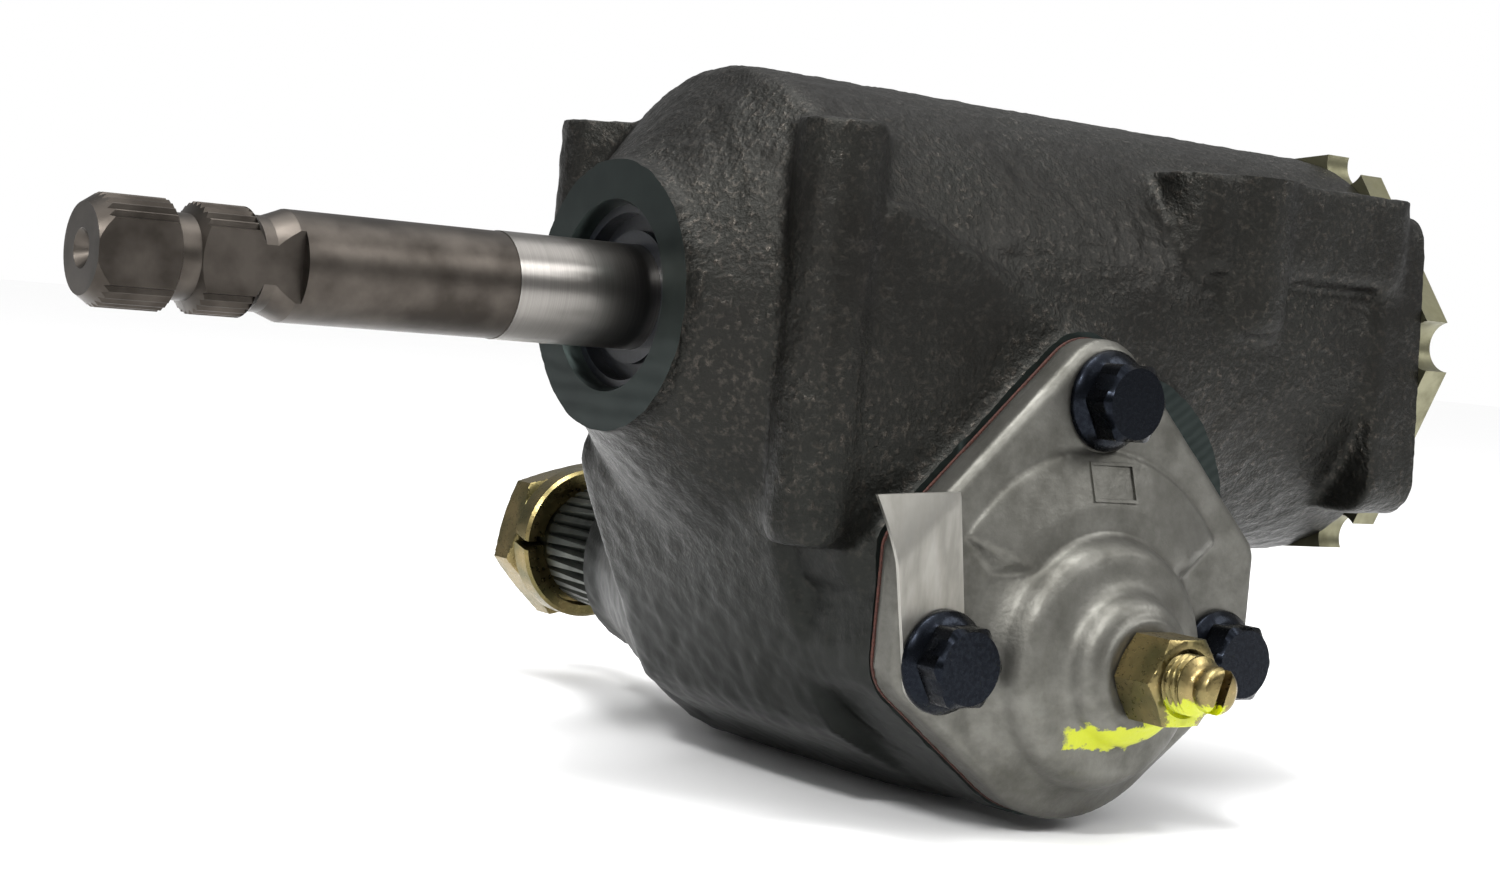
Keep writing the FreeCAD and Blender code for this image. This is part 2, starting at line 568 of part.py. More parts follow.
sketch = new_sketch(cover, "XY_Plane", COVER_FACE)
for x, y in BOLT_PLACES:
    circle(sketch, x, y, "bolt_seat_radius")
sink(cover, sketch, "bolt_seat_depth", reverse=True)
node(on_sector_axis(cover), "side_cover")

gasket = DOC.addObject("PartDesign::Body", "gasket_body")
sketch = new_sketch(gasket, "XY_Plane", "cover_pad_y")
belt(sketch, cover_wheels())
belt(sketch, OPENING_WHEELS)
for x, y in BOLT_PLACES:
    circle(sketch, x, y, "bolt_radius + bolt_clearance")
grow(gasket, sketch, "gasket_thickness")
node(on_sector_axis(gasket), "cover_gasket")


# cover_bolts: three flanged hexagon bolts
def primitive(kind, name, **lengths):
    """Part primitive whose sizes are formulas."""
    thing = DOC.addObject(kind, name)
    for key, text in lengths.items():
        thing.setExpression(key, formula(text))
    return thing


def at(thing, x="0", y="0", z="0", rotation=None):
    """Place a primitive in its piece's own frame."""
    return lay(thing, rotation or Rotation(), x, y, z)


def hexagon_prism(name, flats, height, x, y, z, turn=0):
    """Hexagon prism with its flats facing up and down and its outer corners chamfered."""
    prism_body = primitive("Part::Prism", name + "_prism", Circumradius=flats + " / sqrt(3)", Height=height)
    prism_body.Polygon = 6
    at(prism_body, x, y, z, Rotation(Vector(0, 0, 1), turn))
    cone = primitive("Part::Cone", name + "_chamfer", Radius1=flats + " / 2 + %s * sqrt(3)" % height,
                     Radius2=flats + " / 2", Height=height)
    at(cone, x, y, z)
    return combine("Part::MultiCommon", name, prism_body, [cone])


def bolt_at(index, x, y, seat):
    """Bolt with its flange standing on a seat."""
    name = "bolt_%d" % index
    shank = at(primitive("Part::Cylinder", name + "_shank", Radius="bolt_radius", Height="bolt_length"),
               x, y, seat + " - bolt_length")
    flange = at(primitive("Part::Cone", name + "_flange", Radius1="flange_radius", Height="flange_thickness",
                          Radius2="flange_radius - flange_thickness / 2"), x, y, seat)
    head = hexagon_prism(name + "_head", "bolt_flats", "bolt_head_height", x, y, seat)
    return combine("Part::MultiFuse", name, shank, [flange, head])


TAGGED_BOLT = 1
bolts = []
for index, (x, y) in enumerate(BOLT_PLACES):
    seat = COVER_FACE + (" + tag_thickness" if index == TAGGED_BOLT else "")
    bolts.append(bolt_at(index, x, y, seat))
bolt_group = DOC.addObject("Part::Compound", "cover_bolt_group")
bolt_group.Links = bolts
node(on_sector_axis(bolt_group), "cover_bolts")

tag = DOC.addObject("PartDesign::Body", "tag_body")
sketch = new_sketch(tag, "XY_Plane", COVER_FACE, "-side_bolt_reach")
outline(sketch, [("tag_right - tag_width", "-tag_drop"), ("tag_right", "-tag_drop"),
                 ("tag_right - tag_lean", "tag_rise"), ("tag_right - tag_lean - tag_width", "tag_rise")])
circle(sketch, "0", "0", "bolt_radius + bolt_clearance")
grow(tag, sketch, "tag_thickness")
node(on_sector_axis(tag), "ident_tag")


def ring(label, inner, outer, start, end, frame):
    """Plain turned ring between two radii and two places on its axis."""
    return node(turned(label + "_body", [(inner, start), (outer, start), (outer, end), (inner, end)], frame), label)


ring("cover_bushing", BORE_FIT_RADIUS, "bushing_radius - seat_gap", COVER_BACK + " + bushing_inset", bore_end, on_sector_axis)
ring("sector_bushing", BORE_FIT_RADIUS, "bushing_radius - seat_gap", "-bushing_start - bushing_length",
     "-bushing_start", on_sector_axis)
node(turned("sector_seal_body", [
    (BORE_FIT_RADIUS, "-arm_boss_end + seal_dish"), ("arm_seal_radius - seal_dish", "-arm_boss_end + seal_dish"),
    ("arm_seal_radius - seal_dish", "-arm_boss_end"), ("arm_seal_radius - seat_gap", "-arm_boss_end"),
    ("arm_seal_radius - seat_gap", "-arm_boss_end + arm_seal_length"),
    (BORE_FIT_RADIUS, "-arm_boss_end + arm_seal_length")], on_sector_axis), "sector_seal")

# lash adjuster: screw, shim and lock nut
SLOT_STEP = "(slot_low + shim_thickness + lash_head_thickness + 3 * running_fit)"
HEAD_LOW = "(slot_low + shim_thickness + running_fit)"
lash = turned("lash_body", [
    ("0", HEAD_LOW), ("lash_head_radius", HEAD_LOW), ("lash_head_radius", HEAD_LOW + " + lash_head_thickness"),
    ("lash_thread_radius", HEAD_LOW + " + lash_head_thickness"), ("lash_thread_radius", "lash_thread_end"),
    ("lash_neck_radius", "lash_neck_end"), ("lash_tip_radius", "lash_neck_end + thread_chamfer / 2"),
    ("lash_tip_radius", "lash_end - thread_chamfer"), ("lash_tip_radius - thread_chamfer", "lash_end"),
    ("0", "lash_end")], on_sector_axis)
sketch = new_sketch(lash, "XY_Plane", "lash_end")
outline(sketch, [("-lash_head_radius", "-driver_slot_width / 2"), ("lash_head_radius", "-driver_slot_width / 2"),
                 ("lash_head_radius", "driver_slot_width / 2"), ("-lash_head_radius", "driver_slot_width / 2")])
sink(lash, sketch, "driver_slot_depth")
node(lash, "lash_adjuster_screw")
shim = turned("shim_body", [("0", "slot_low"), ("lash_head_radius", "slot_low"),
                            ("lash_head_radius", "slot_low + shim_thickness"), ("0", "slot_low + shim_thickness")],
              on_sector_axis)
node(shim, "lash_shim")


def hexagon_nut(label, flats, height, hole, start, turn=0):
    """Hexagon nut on the sector shaft's axis; it starts at a given place on it."""
    blank = hexagon_prism(label + "_blank", flats, height, "0", "0", start, turn)
    hole_cut = at(primitive("Part::Cylinder", label + "_hole", Radius=hole, Height=height), z=start)
    return node(on_sector_axis(combine("Part::Cut", label + "_cut", blank, hole_cut)), label)


hexagon_nut("lash_lock_nut", "lock_nut_flats", "lock_nut_height", "lash_thread_radius + thread_gap", "hub_height")
NUT_NEAR = "(arm_washer_near + arm_washer_thickness)"
hexagon_nut("pitman_nut", "arm_nut_flats", "arm_nut_thickness", "arm_thread_radius + thread_gap",
                      "-%s - arm_nut_thickness" % NUT_NEAR, math.degrees(value("arm_nut_turn")))

washer = turned("washer_body", [
    ("arm_thread_radius + thread_gap", "-" + NUT_NEAR), ("arm_washer_radius", "-" + NUT_NEAR),
    ("arm_washer_radius", "-arm_washer_near"), ("arm_thread_radius + thread_gap", "-arm_washer_near")],
    on_sector_axis)
sketch = new_sketch(washer, "XY_Plane", "-arm_washer_near")
outline(sketch, [("0", "-washer_gap / 2"), ("-2 * arm_washer_radius", "-washer_gap / 2"),
                 ("-2 * arm_washer_radius", "washer_gap / 2"), ("0", "washer_gap / 2")])
sink(washer, sketch, "arm_washer_thickness")
node(washer, "pitman_lock_washer")

# sector_shaft: journals, T-slot, steering teeth, arm serrations and thread
sector = turned("sector_body", [
    ("0", "journal_top"), ("journal_radius", "journal_top"), ("journal_radius", "teeth_half_width"),
    ("sector_hub_radius", "teeth_half_width"), ("sector_hub_radius", "-teeth_half_width"),
    ("journal_radius", "-teeth_half_width"), ("journal_radius", "-spline_start + thread_chamfer"),
    ("spline_radius", "-spline_start"), ("spline_small_radius", "-spline_end"),
    ("arm_thread_radius", "-spline_end"), ("arm_thread_radius", "-sector_tail + thread_chamfer"),
    ("arm_thread_radius - thread_chamfer", "-sector_tail"), ("0", "-sector_tail")], on_sector_axis)


def involute(angle):
    return math.tan(angle) - angle


def flank_point(radius, tooth_angle, side):
    """Point of an involute tooth flank; the tooth is thinned by the flank clearance."""
    pitch_radius = value(PITCH_RADIUS)
    pressure = math.radians(value("pressure_angle"))
    base = pitch_radius * math.cos(pressure)
    half = math.pi / 2 / TEETH_IN_TURN - value("flank_clearance") / pitch_radius
    spread = half + involute(pressure) - involute(math.acos(min(1.0, base / radius)))
    angle = tooth_angle + side * spread
    return (radius * math.sin(angle), radius * math.cos(angle))


FLANK_STEPS = 6
ROOT_RADIUS = value(PITCH_RADIUS + " - tooth_addendum - root_clearance")
TIP_RADIUS = value(PITCH_RADIUS + " + tooth_addendum")
BASE_RADIUS = value(PITCH_RADIUS) * math.cos(math.radians(value("pressure_angle")))
points = [(0.0, 0.0)]
for tooth in (-1, 0, 1):
    centre = 2 * math.pi * tooth / TEETH_IN_TURN
    rises = [BASE_RADIUS + (TIP_RADIUS - BASE_RADIUS) * step / FLANK_STEPS for step in range(FLANK_STEPS + 1)]
    foot = flank_point(BASE_RADIUS, centre, -1)
    points.append((foot[0] * ROOT_RADIUS / BASE_RADIUS, foot[1] * ROOT_RADIUS / BASE_RADIUS))
    points += [flank_point(radius, centre, -1) for radius in rises]
    points += [flank_point(radius, centre, 1) for radius in reversed(rises)]
    foot = flank_point(BASE_RADIUS, centre, 1)
    points.append((foot[0] * ROOT_RADIUS / BASE_RADIUS, foot[1] * ROOT_RADIUS / BASE_RADIUS))
sketch = new_sketch(sector, "XY_Plane", "-teeth_half_width")
polygon(sketch, points)
grow(sector, sketch, "2 * teeth_half_width")

sketch = new_sketch(sector, "YZ_Plane", "-journal_radius - overrun")
outline(sketch, [
    ("-slot_width / 2", "slot_low"), ("slot_width / 2", "slot_low"), ("slot_width / 2", SLOT_STEP),
    ("slot_neck_width / 2", SLOT_STEP), ("slot_neck_width / 2", "journal_top + overrun"),
    ("-slot_neck_width / 2", "journal_top + overrun"), ("-slot_neck_width / 2", SLOT_STEP),
    ("-slot_width / 2", SLOT_STEP)])
sink(sector, sketch, "2 * (journal_radius + overrun)", reverse=True)


def notch_ring(sketch, count, root, outer):
    """Row of V-shaped notches round a shaft, from a root radius out past its surface."""
    for step in range(count):
        middle = 2 * math.pi * step / count
        half = 0.46 * 2 * math.pi / count
        reach = outer / math.cos(half)
        polygon(sketch, [(root * math.cos(middle), root * math.sin(middle)),
                         (reach * math.cos(middle + half), reach * math.sin(middle + half)),
                         (reach * math.cos(middle - half), reach * math.sin(middle - half))])


sketch = new_sketch(sector, "XY_Plane", "-spline_end")
notch_ring(sketch, int(value("spline_teeth")), value("spline_small_radius - spline_depth"), value("spline_radius"))
sink(sector, sketch, "spline_end - spline_start", reverse=True)
node(sector, "sector_shaft")

# worm_shaft: input serrations, flat, journal, races and ball groove
RACE_CENTRE = "(race_circle_radius - front_race_x)"
RACE_REACH = "((race_ball_radius + running_fit) * sqrt(2))"
FRONT_SUM = "(front_race_x - race_circle_radius + %s)" % RACE_REACH
REAR_SUM = "(rear_race_x + race_circle_radius - %s)" % RACE_REACH
worm_core = turned("worm_body", [
    ("0", "-shaft_tip_x + drill_depth"), ("drill_radius", "-shaft_tip_x + drill_depth"),
    ("drill_radius", "-shaft_tip_x + centre_hole_depth"), ("centre_hole_radius", "-shaft_tip_x"),
    ("tip_radius", "-shaft_tip_x"), ("land_radius", "-shaft_tip_x + tip_chamfer"),
    ("land_radius", "-land_one_end"), ("clamp_groove_radius", "-land_one_end + thread_chamfer"),
    ("clamp_groove_radius", "-clamp_groove_end - thread_chamfer"), ("land_radius", "-clamp_groove_end"),
    ("land_radius", "-land_two_end"), ("neck_radius", "-neck_start"), ("neck_radius", "-neck_end"),
    ("plain_radius", "-plain_start"), ("plain_radius", "-ground_start"), ("ground_radius", "-ground_start"),
    ("ground_radius", "ground_radius + " + FRONT_SUM), ("worm_radius", "worm_radius + " + FRONT_SUM),
    ("worm_radius", REAR_SUM + " - worm_radius"), ("ground_radius", REAR_SUM + " - ground_radius"),
    ("ground_radius", "worm_tail_x - thread_chamfer"), ("ground_radius - thread_chamfer", "worm_tail_x"),
    ("0", "worm_tail_x")], on_worm_axis)
sketch = new_sketch(worm_core, "XY_Plane", "-shaft_tip_x")
notch_ring(sketch, int(value("serrations")), value("land_radius - serration_depth"), value("land_radius"))
sink(worm_core, sketch, "shaft_tip_x - land_two_end", reverse=True)
OUTSIDE = "(plain_radius + overrun)"
sketch = new_sketch(worm_core, "XY_Plane", "-shaft_tip_x")
outline(sketch, [("-" + OUTSIDE, "-" + OUTSIDE), (OUTSIDE, "-" + OUTSIDE), (OUTSIDE, "-flat_distance"),
                 ("-" + OUTSIDE, "-flat_distance")])
sink(worm_core, sketch, "shaft_tip_x - flat_end", reverse=True)
groove = DOC.addObject("Part::Feature", "worm_groove")
groove.Shape = helix_groove(value("sector_x - groove_half_length"), value("sector_x + groove_half_length"),
                            value("ball_circle_radius"), value("groove_radius"))
on_worm_axis(groove)
worm = combine("Part::Cut", "worm_cut", worm_core, groove)
node(worm, "worm_shaft")

node(turned("input_seal_body", [
    ("ground_radius + running_fit", "seal_face_x + seal_dish"), ("seal_lip_radius", "seal_face_x + seal_dish"),
    ("seal_lip_radius", "seal_face_x + 2 * seal_dish"), ("seal_radius - seal_dish", "seal_face_x + 2 * seal_dish"),
    ("seal_radius - seal_dish", "seal_face_x"), ("seal_radius - seat_gap", "seal_face_x"),
    ("seal_radius - seat_gap", "seal_face_x + seal_length"),
    ("ground_radius + running_fit", "seal_face_x + seal_length")], on_worm_axis), "input_seal")


def worm_bearing(name, centre, outward):
    """Cup, balls and cage of one worm bearing; outward is 1 where the cup opens to the rear."""
    def along(distance):
        return "%s + %d * (%s)" % (centre, outward, distance)

    slope = "race_circle_radius + %s" % RACE_REACH
    cup = turned(name + "_cup_body", [
        ("cup_lip_radius", along("-cup_seat")), ("cup_lip_radius", along("cup_lip_radius - (%s)" % slope)),
        ("cup_radius - cup_wall", along("cup_radius - cup_wall - (%s)" % slope)),
        ("cup_radius - cup_wall", along("cup_length - cup_seat")),
        ("cup_radius - seat_gap", along("cup_length - cup_seat")), ("cup_radius - seat_gap", along("-cup_seat"))],
        on_worm_axis)
    node(cup, name + "_cup")
    count = int(value("race_balls"))
    circle_radius = value("race_circle_radius")
    level = value(centre)
    places = [Vector(circle_radius * math.cos(turn), circle_radius * math.sin(turn), level)
              for turn in (2 * math.pi * step / count for step in range(count))]
    balls = Part.makeCompound([ball(place, value("race_ball_radius")) for place in places])
    node(solid_feature(name + "_ball_set", balls, on_worm_axis), name + "_balls")
    half = "cage_thickness / sqrt(2)"
    cage = turned(name + "_cage_body", [
        ("race_circle_radius - cage_reach - %s" % half, along("-cage_reach + %s" % half)),
        ("race_circle_radius - cage_reach", along("-cage_reach")),
        ("race_circle_radius + cage_reach", along("cage_reach")),
        ("race_circle_radius + cage_reach - %s" % half, along("cage_reach + %s" % half))], on_worm_axis)
    windows = []
    for place in places:
        outside = Vector(place.x, place.y, 0).normalize()
        across = (outside - Vector(0, 0, outward)).normalize()
        around = Vector(0, 0, 1).cross(outside)
        slant = across.cross(around)
        reach = value("race_ball_radius + cage_gap")
        start = place - across * reach
        windows.append(swept([ring_of(start, around, slant, reach), ring_of(start + across * (2 * reach), around,
                                                                            slant, reach)]))
    cutter = solid_feature(name + "_cage_windows", Part.makeCompound(windows), on_worm_axis)
    node(combine("Part::Cut", name + "_cage_cut", cage, cutter), name + "_cage")


worm_bearing("upper_bearing", "front_race_x", 1)
worm_bearing("lower_bearing", "rear_race_x", -1)
CUP_MOUTH = "(rear_race_x + cup_seat - cup_length)"
ring("lower_bearing_retainer", "retainer_bore_radius", "cup_radius - seat_gap", "plug_start_x + thread_gap",
     CUP_MOUTH, on_worm_axis)

# bearing_adjuster_plug and adjuster_lock_ring
plug = turned("plug_body", [
    ("plug_bore_radius", "plug_floor_x"), ("plug_bore_radius", "rear_race_x + cup_seat"),
    ("cup_radius", "rear_race_x + cup_seat"), ("cup_radius", "plug_start_x"), ("plug_thread_radius", "plug_start_x"),
    ("plug_thread_radius", "plug_face_x - thread_chamfer"), ("plug_thread_radius - thread_chamfer", "plug_face_x"),
    ("0", "plug_face_x"), ("0", "plug_floor_x")], on_worm_axis)
sketch = new_sketch(plug, "XY_Plane", "plug_face_x")
hexagon(sketch, "plug_hex_flats")
sink(plug, sketch, "plug_hex_depth")
node(plug, "bearing_adjuster_plug")

lock = DOC.addObject("PartDesign::Body", "lock_ring_body")
sketch = new_sketch(lock, "XY_Plane", "ring_start_x")
corner_angles = [math.radians(value("ring_turn") + 60 * step) for step in range(6)]
corner_text = "%.9f * ring_flat_distance"
outline(sketch, [(corner_text % (math.cos(angle) / math.cos(math.pi / 6)),
                  corner_text % (math.sin(angle) / math.cos(math.pi / 6))) for angle in corner_angles])
circle(sketch, "0", "0", "plug_thread_radius + thread_gap")
grow(lock, sketch, "ring_thickness")
sketch = new_sketch(lock, "XY_Plane", "ring_start_x")
for angle in corner_angles:
    circle(sketch, "%.9f * (ring_notch_bottom + ring_notch_radius)" % math.cos(angle),
           "%.9f * (ring_notch_bottom + ring_notch_radius)" % math.sin(angle), "ring_notch_radius")
sink(lock, sketch, "ring_thickness", reverse=True)
node(on_worm_axis(lock), "adjuster_lock_ring")

# ball_nut: body, rack teeth, bore, ball grooves and guide holes
nut = DOC.addObject("PartDesign::Body", "nut_body")
NUT_SIDE = "(nut_half_width - nut_corner_radius)"
RACK_ROOT = "(centre_distance - %s - tooth_addendum - root_clearance)" % PITCH_RADIUS
RACK_TIP = "(centre_distance - %s + tooth_addendum)" % PITCH_RADIUS
sketch = new_sketch(nut, "XY_Plane", "sector_x - nut_half_length")
belt(sketch, [("-nut_top + nut_corner_radius", "-" + NUT_SIDE, "nut_corner_radius"),
              (RACK_ROOT + " - nut_corner_radius", "-" + NUT_SIDE, "nut_corner_radius"),
              (RACK_ROOT + " - nut_corner_radius", NUT_SIDE, "nut_corner_radius"),
              ("-nut_top + nut_corner_radius", NUT_SIDE, "nut_corner_radius")])
grow(nut, sketch, "2 * nut_half_length")

# Straight-sided rack: one space in the middle and one on each side, open towards the sector
slope = math.tan(math.radians(value("pressure_angle")))
quarter = value(PITCH_RADIUS) * math.pi / TEETH_IN_TURN / 2
addendum = value("tooth_addendum")
dedendum = value("tooth_addendum + root_clearance")
half_length = value("nut_half_length")
overrun = value("overrun")
middle_x = value("sector_x")
pitch_level = value("centre_distance - " + PITCH_RADIUS)
rack = [(pitch_level - dedendum - overrun, -half_length), (pitch_level + addendum, -half_length)]
for space in (-1, 0, 1):
    place = space * 4 * quarter
    rack += [(pitch_level + addendum, place - quarter - addendum * slope),
             (pitch_level - dedendum, place - quarter + dedendum * slope),
             (pitch_level - dedendum, place + quarter - dedendum * slope),
             (pitch_level + addendum, place + quarter + addendum * slope)]
rack += [(pitch_level + addendum, half_length), (pitch_level - dedendum - overrun, half_length)]
sketch = new_sketch(nut, "XZ_Plane", "teeth_half_width")
polygon(sketch, [(down, middle_x + along) for down, along in rack])
grow(nut, sketch, "2 * teeth_half_width", reverse=True)
sketch = new_sketch(nut, "XZ_Plane")
outline(sketch, [("0", "sector_x - nut_half_length - overrun"), ("nut_bore_radius", "sector_x - nut_half_length - overrun"),
                 ("nut_bore_radius", "sector_x + nut_half_length + overrun"), ("0", "sector_x + nut_half_length + overrun")])
spin(nut, sketch, "PartDesign::Groove")
on_worm_axis(nut)

CIRCUITS = [NUT_LOW, NUT_LOW + value(CIRCUIT_LENGTH + " + circuit_gap")]
GROOVE_PATH = value("ball_circle_radius") / math.cos(math.pi / FACETS_PER_TURN)
circuit_length = value(CIRCUIT_LENGTH)
guide_reach = value("ball_circle_radius")
cutters = []
for low in CIRCUITS:
    cutters.append(helix_groove(low, low + circuit_length, GROOVE_PATH, value("groove_radius")))
    for side, level in ((-1, low), (1, low + circuit_length)):
        foot = Vector(0, side * guide_reach, level)
        up = Vector(-1, 0, 0)
        side_way = Vector(0, 1, 0)
        shaft_way = Vector(0, 0, 1)
        cutters.append(swept([ring_of(foot + up * reach, side_way, shaft_way, value("groove_radius"))
                              for reach in (0, value("nut_top + overrun"))]))
        cutters.append(swept([ring_of(foot + up * reach, side_way, shaft_way, value("guide_radius + running_fit"))
                              for reach in (value("guide_leg_low - running_fit"), value("nut_top + overrun"))]))
for side in (-1, 1):
    cutters.append(Part.makeCylinder(value("clamp_screw_radius + thread_gap"), value("clamp_screw_length"),
                                     Vector(-value("nut_top"), 0, middle_x + side * value("clamp_screw_reach")),
                                     Vector(1, 0, 0)))
last = nut
for index, shape in enumerate(cutters):
    cutter = solid_feature("nut_cutter_%d" % index, shape, on_worm_axis)
    last = combine("Part::Cut", "nut_cut_%d" % index, last, cutter)
node(last, "ball_nut")


# ball_guides: two tubes that lead the balls back over the nut
def guide_stations(low):
    """Centre points and headings of a guide's path, from one leg over to the other."""
    start = Vector(0, -guide_reach, low)
    end = Vector(0, guide_reach, low + circuit_length)
    across = (end - start).normalize()
    span = (end - start).Length
    up = Vector(-1, 0, 0)
    bend = value("guide_bend")
    top = value(GUIDE_TOP)
    stations = [(start + up * value("guide_leg_low"), 90)]
    for angle in (90, 60, 30, 0):
        turn = math.radians(angle)
        stations.append((start + across * (bend - bend * math.sin(turn)) + up * (top - bend + bend * math.cos(turn)),
                         angle))
    for angle in (0, -30, -60, -90):
        turn = math.radians(angle)
        stations.append((start + across * (span - bend - bend * math.sin(turn))
                         + up * (top - bend + bend * math.cos(turn)), angle))
    stations.append((end + up * value("guide_leg_low"), -90))
    return across, up, stations


def guide_rings(low, radius):
    across, up, stations = guide_stations(low)
    beside = across.cross(up)
    rings = []
    for centre, angle in stations:
        turn = math.radians(angle)
        normal = up * math.cos(turn) - across * math.sin(turn)
        rings.append(ring_of(centre, normal, beside, radius))
    return rings


tubes = []
tube_radius = value("guide_radius") * math.cos(math.pi / 8)
for low in CIRCUITS:
    tubes.append(swept(guide_rings(low, tube_radius)).cut(swept(guide_rings(low, value("groove_radius")))))
node(solid_feature("guide_tubes", Part.makeCompound(tubes), on_worm_axis), "ball_guides")

# recirculating_balls: two circuits through the grooves and the guides
spheres = []
ball_radius = value("ball_radius")
pitch = value("ball_pitch")
turn_length = math.hypot(2 * math.pi * value("ball_circle_radius"), LEAD)
groove_balls = int(value("circuit_turns") * turn_length / pitch)
for low in CIRCUITS:
    for index in range(groove_balls):
        share = (index + 0.5) / groove_balls
        angle = 2 * math.pi * ((low + circuit_length * share - NUT_LOW) / LEAD + 0.75)
        spheres.append(ball(helix_point(angle, value("ball_circle_radius")), ball_radius))
    across, up, stations = guide_stations(low)
    centres = [centre for centre, angle in stations]
    lengths = [(after - before).Length for before, after in zip(centres, centres[1:])]
    guide_balls = int(sum(lengths) / pitch)
    for index in range(guide_balls):
        left = sum(lengths) * (index + 0.5) / guide_balls
        for before, after, length in zip(centres, centres[1:], lengths):
            if left <= length:
                spheres.append(ball(before + (after - before) * (left / length), ball_radius))
                break
            left -= length
node(solid_feature("ball_train", Part.makeCompound(spheres), on_worm_axis), "recirculating_balls")

# ball_guide_clamp and its screws
strip = DOC.addObject("PartDesign::Body", "clamp_body")
HAT = GUIDE_TOP + " + guide_radius"
levels = [("clamp_half_length", "nut_top"), ("clamp_hat_half_length", "nut_top"), ("clamp_hat_half_length", HAT)]
upper = [("clamp_hat_half_length + clamp_thickness", HAT + " + clamp_thickness"),
         ("clamp_hat_half_length + clamp_thickness", "nut_top + clamp_thickness"),
         ("clamp_half_length", "nut_top + clamp_thickness")]
right = [("-(%s)" % height, "sector_x + " + reach) for reach, height in levels]
left = [("-(%s)" % height, "sector_x - (%s)" % reach) for reach, height in reversed(levels)]
left_upper = [("-(%s)" % height, "sector_x - (%s)" % reach) for reach, height in reversed(upper)]
right_upper = [("-(%s)" % height, "sector_x + " + reach) for reach, height in upper]
sketch = new_sketch(strip, "XZ_Plane", "clamp_width / 2")
outline(sketch, right + left + left_upper + right_upper)
grow(strip, sketch, "clamp_width", reverse=True)
sketch = new_sketch(strip, "YZ_Plane", "-nut_top")
for side in ("-", "+"):
    circle(sketch, "0", "sector_x %s clamp_screw_reach" % side, "clamp_screw_radius + thread_gap")
sink(strip, sketch, "clamp_thickness")
node(on_worm_axis(strip), "ball_guide_clamp")

screws = []
turn_up = Rotation(Vector(0, 1, 0), -90)
for index, side in enumerate(("-", "+")):
    place = "sector_x %s clamp_screw_reach" % side
    stem = primitive("Part::Cylinder", "clamp_stem_%d" % index, Radius="clamp_screw_radius",
                     Height="clamp_screw_length + clamp_thickness - thread_gap")
    at(stem, "-nut_top + clamp_screw_length - thread_gap", "0", place, turn_up)
    top = primitive("Part::Cylinder", "clamp_head_%d" % index, Radius="clamp_screw_head_radius",
                    Height="clamp_screw_head")
    at(top, "-nut_top - clamp_thickness", "0", place, turn_up)
    screws.append(combine("Part::MultiFuse", "clamp_screw_%d" % index, stem, [top]))
screw_group = DOC.addObject("Part::Compound", "clamp_screw_group")
screw_group.Links = screws
node(on_worm_axis(screw_group), "guide_clamp_screws")

# Check and write every piece
DOC.recompute()
for thing in DOC.Objects:
    if "Invalid" in thing.State or "Error" in thing.State:
        raise ValueError("%s doesn't rebuild" % thing.Label)
for piece in NODES:
    if piece.Shape.isNull() or not piece.Shape.isValid():
        raise ValueError("%s has no valid shape" % piece.Label)
for piece in NODES:
    piece.Shape.exportStep("parts/%s.step" % piece.Label)
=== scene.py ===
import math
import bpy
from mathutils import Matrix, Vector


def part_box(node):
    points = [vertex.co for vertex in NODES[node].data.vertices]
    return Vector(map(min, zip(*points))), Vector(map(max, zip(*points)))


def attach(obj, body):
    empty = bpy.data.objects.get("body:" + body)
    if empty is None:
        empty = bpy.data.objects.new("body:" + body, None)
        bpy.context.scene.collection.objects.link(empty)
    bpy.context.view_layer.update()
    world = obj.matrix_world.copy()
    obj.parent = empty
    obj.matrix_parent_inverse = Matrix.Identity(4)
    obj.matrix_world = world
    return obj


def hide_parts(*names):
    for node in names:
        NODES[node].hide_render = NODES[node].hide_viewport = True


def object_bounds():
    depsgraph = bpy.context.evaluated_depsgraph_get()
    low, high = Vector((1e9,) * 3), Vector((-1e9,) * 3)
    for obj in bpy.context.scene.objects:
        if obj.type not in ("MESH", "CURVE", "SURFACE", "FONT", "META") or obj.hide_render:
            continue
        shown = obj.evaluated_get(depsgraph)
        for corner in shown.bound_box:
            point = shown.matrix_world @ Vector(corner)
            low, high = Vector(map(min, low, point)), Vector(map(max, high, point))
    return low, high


bl_info = {
    "name": "Steering gearbox",
    "version": (1, 0, 0),
    "blender": (4, 5, 0),
    "location": "View3D > Sidebar > Gearbox",
    "description": "Dresses the packed recirculating-ball steering gearbox: castings, shafts, fasteners and stage",
    "category": "Object",
}

import bmesh
import bpy
import numpy as np
from bpy.props import FloatProperty, FloatVectorProperty, IntProperty, PointerProperty
from mathutils import Matrix, Vector, noise

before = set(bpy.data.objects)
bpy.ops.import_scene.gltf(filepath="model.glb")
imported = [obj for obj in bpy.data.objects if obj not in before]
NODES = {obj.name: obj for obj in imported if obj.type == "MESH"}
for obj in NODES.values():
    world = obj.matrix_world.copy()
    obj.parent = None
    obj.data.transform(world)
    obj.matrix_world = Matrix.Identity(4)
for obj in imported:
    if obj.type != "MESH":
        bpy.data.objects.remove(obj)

CAD_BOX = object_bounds()
MM = 0.001

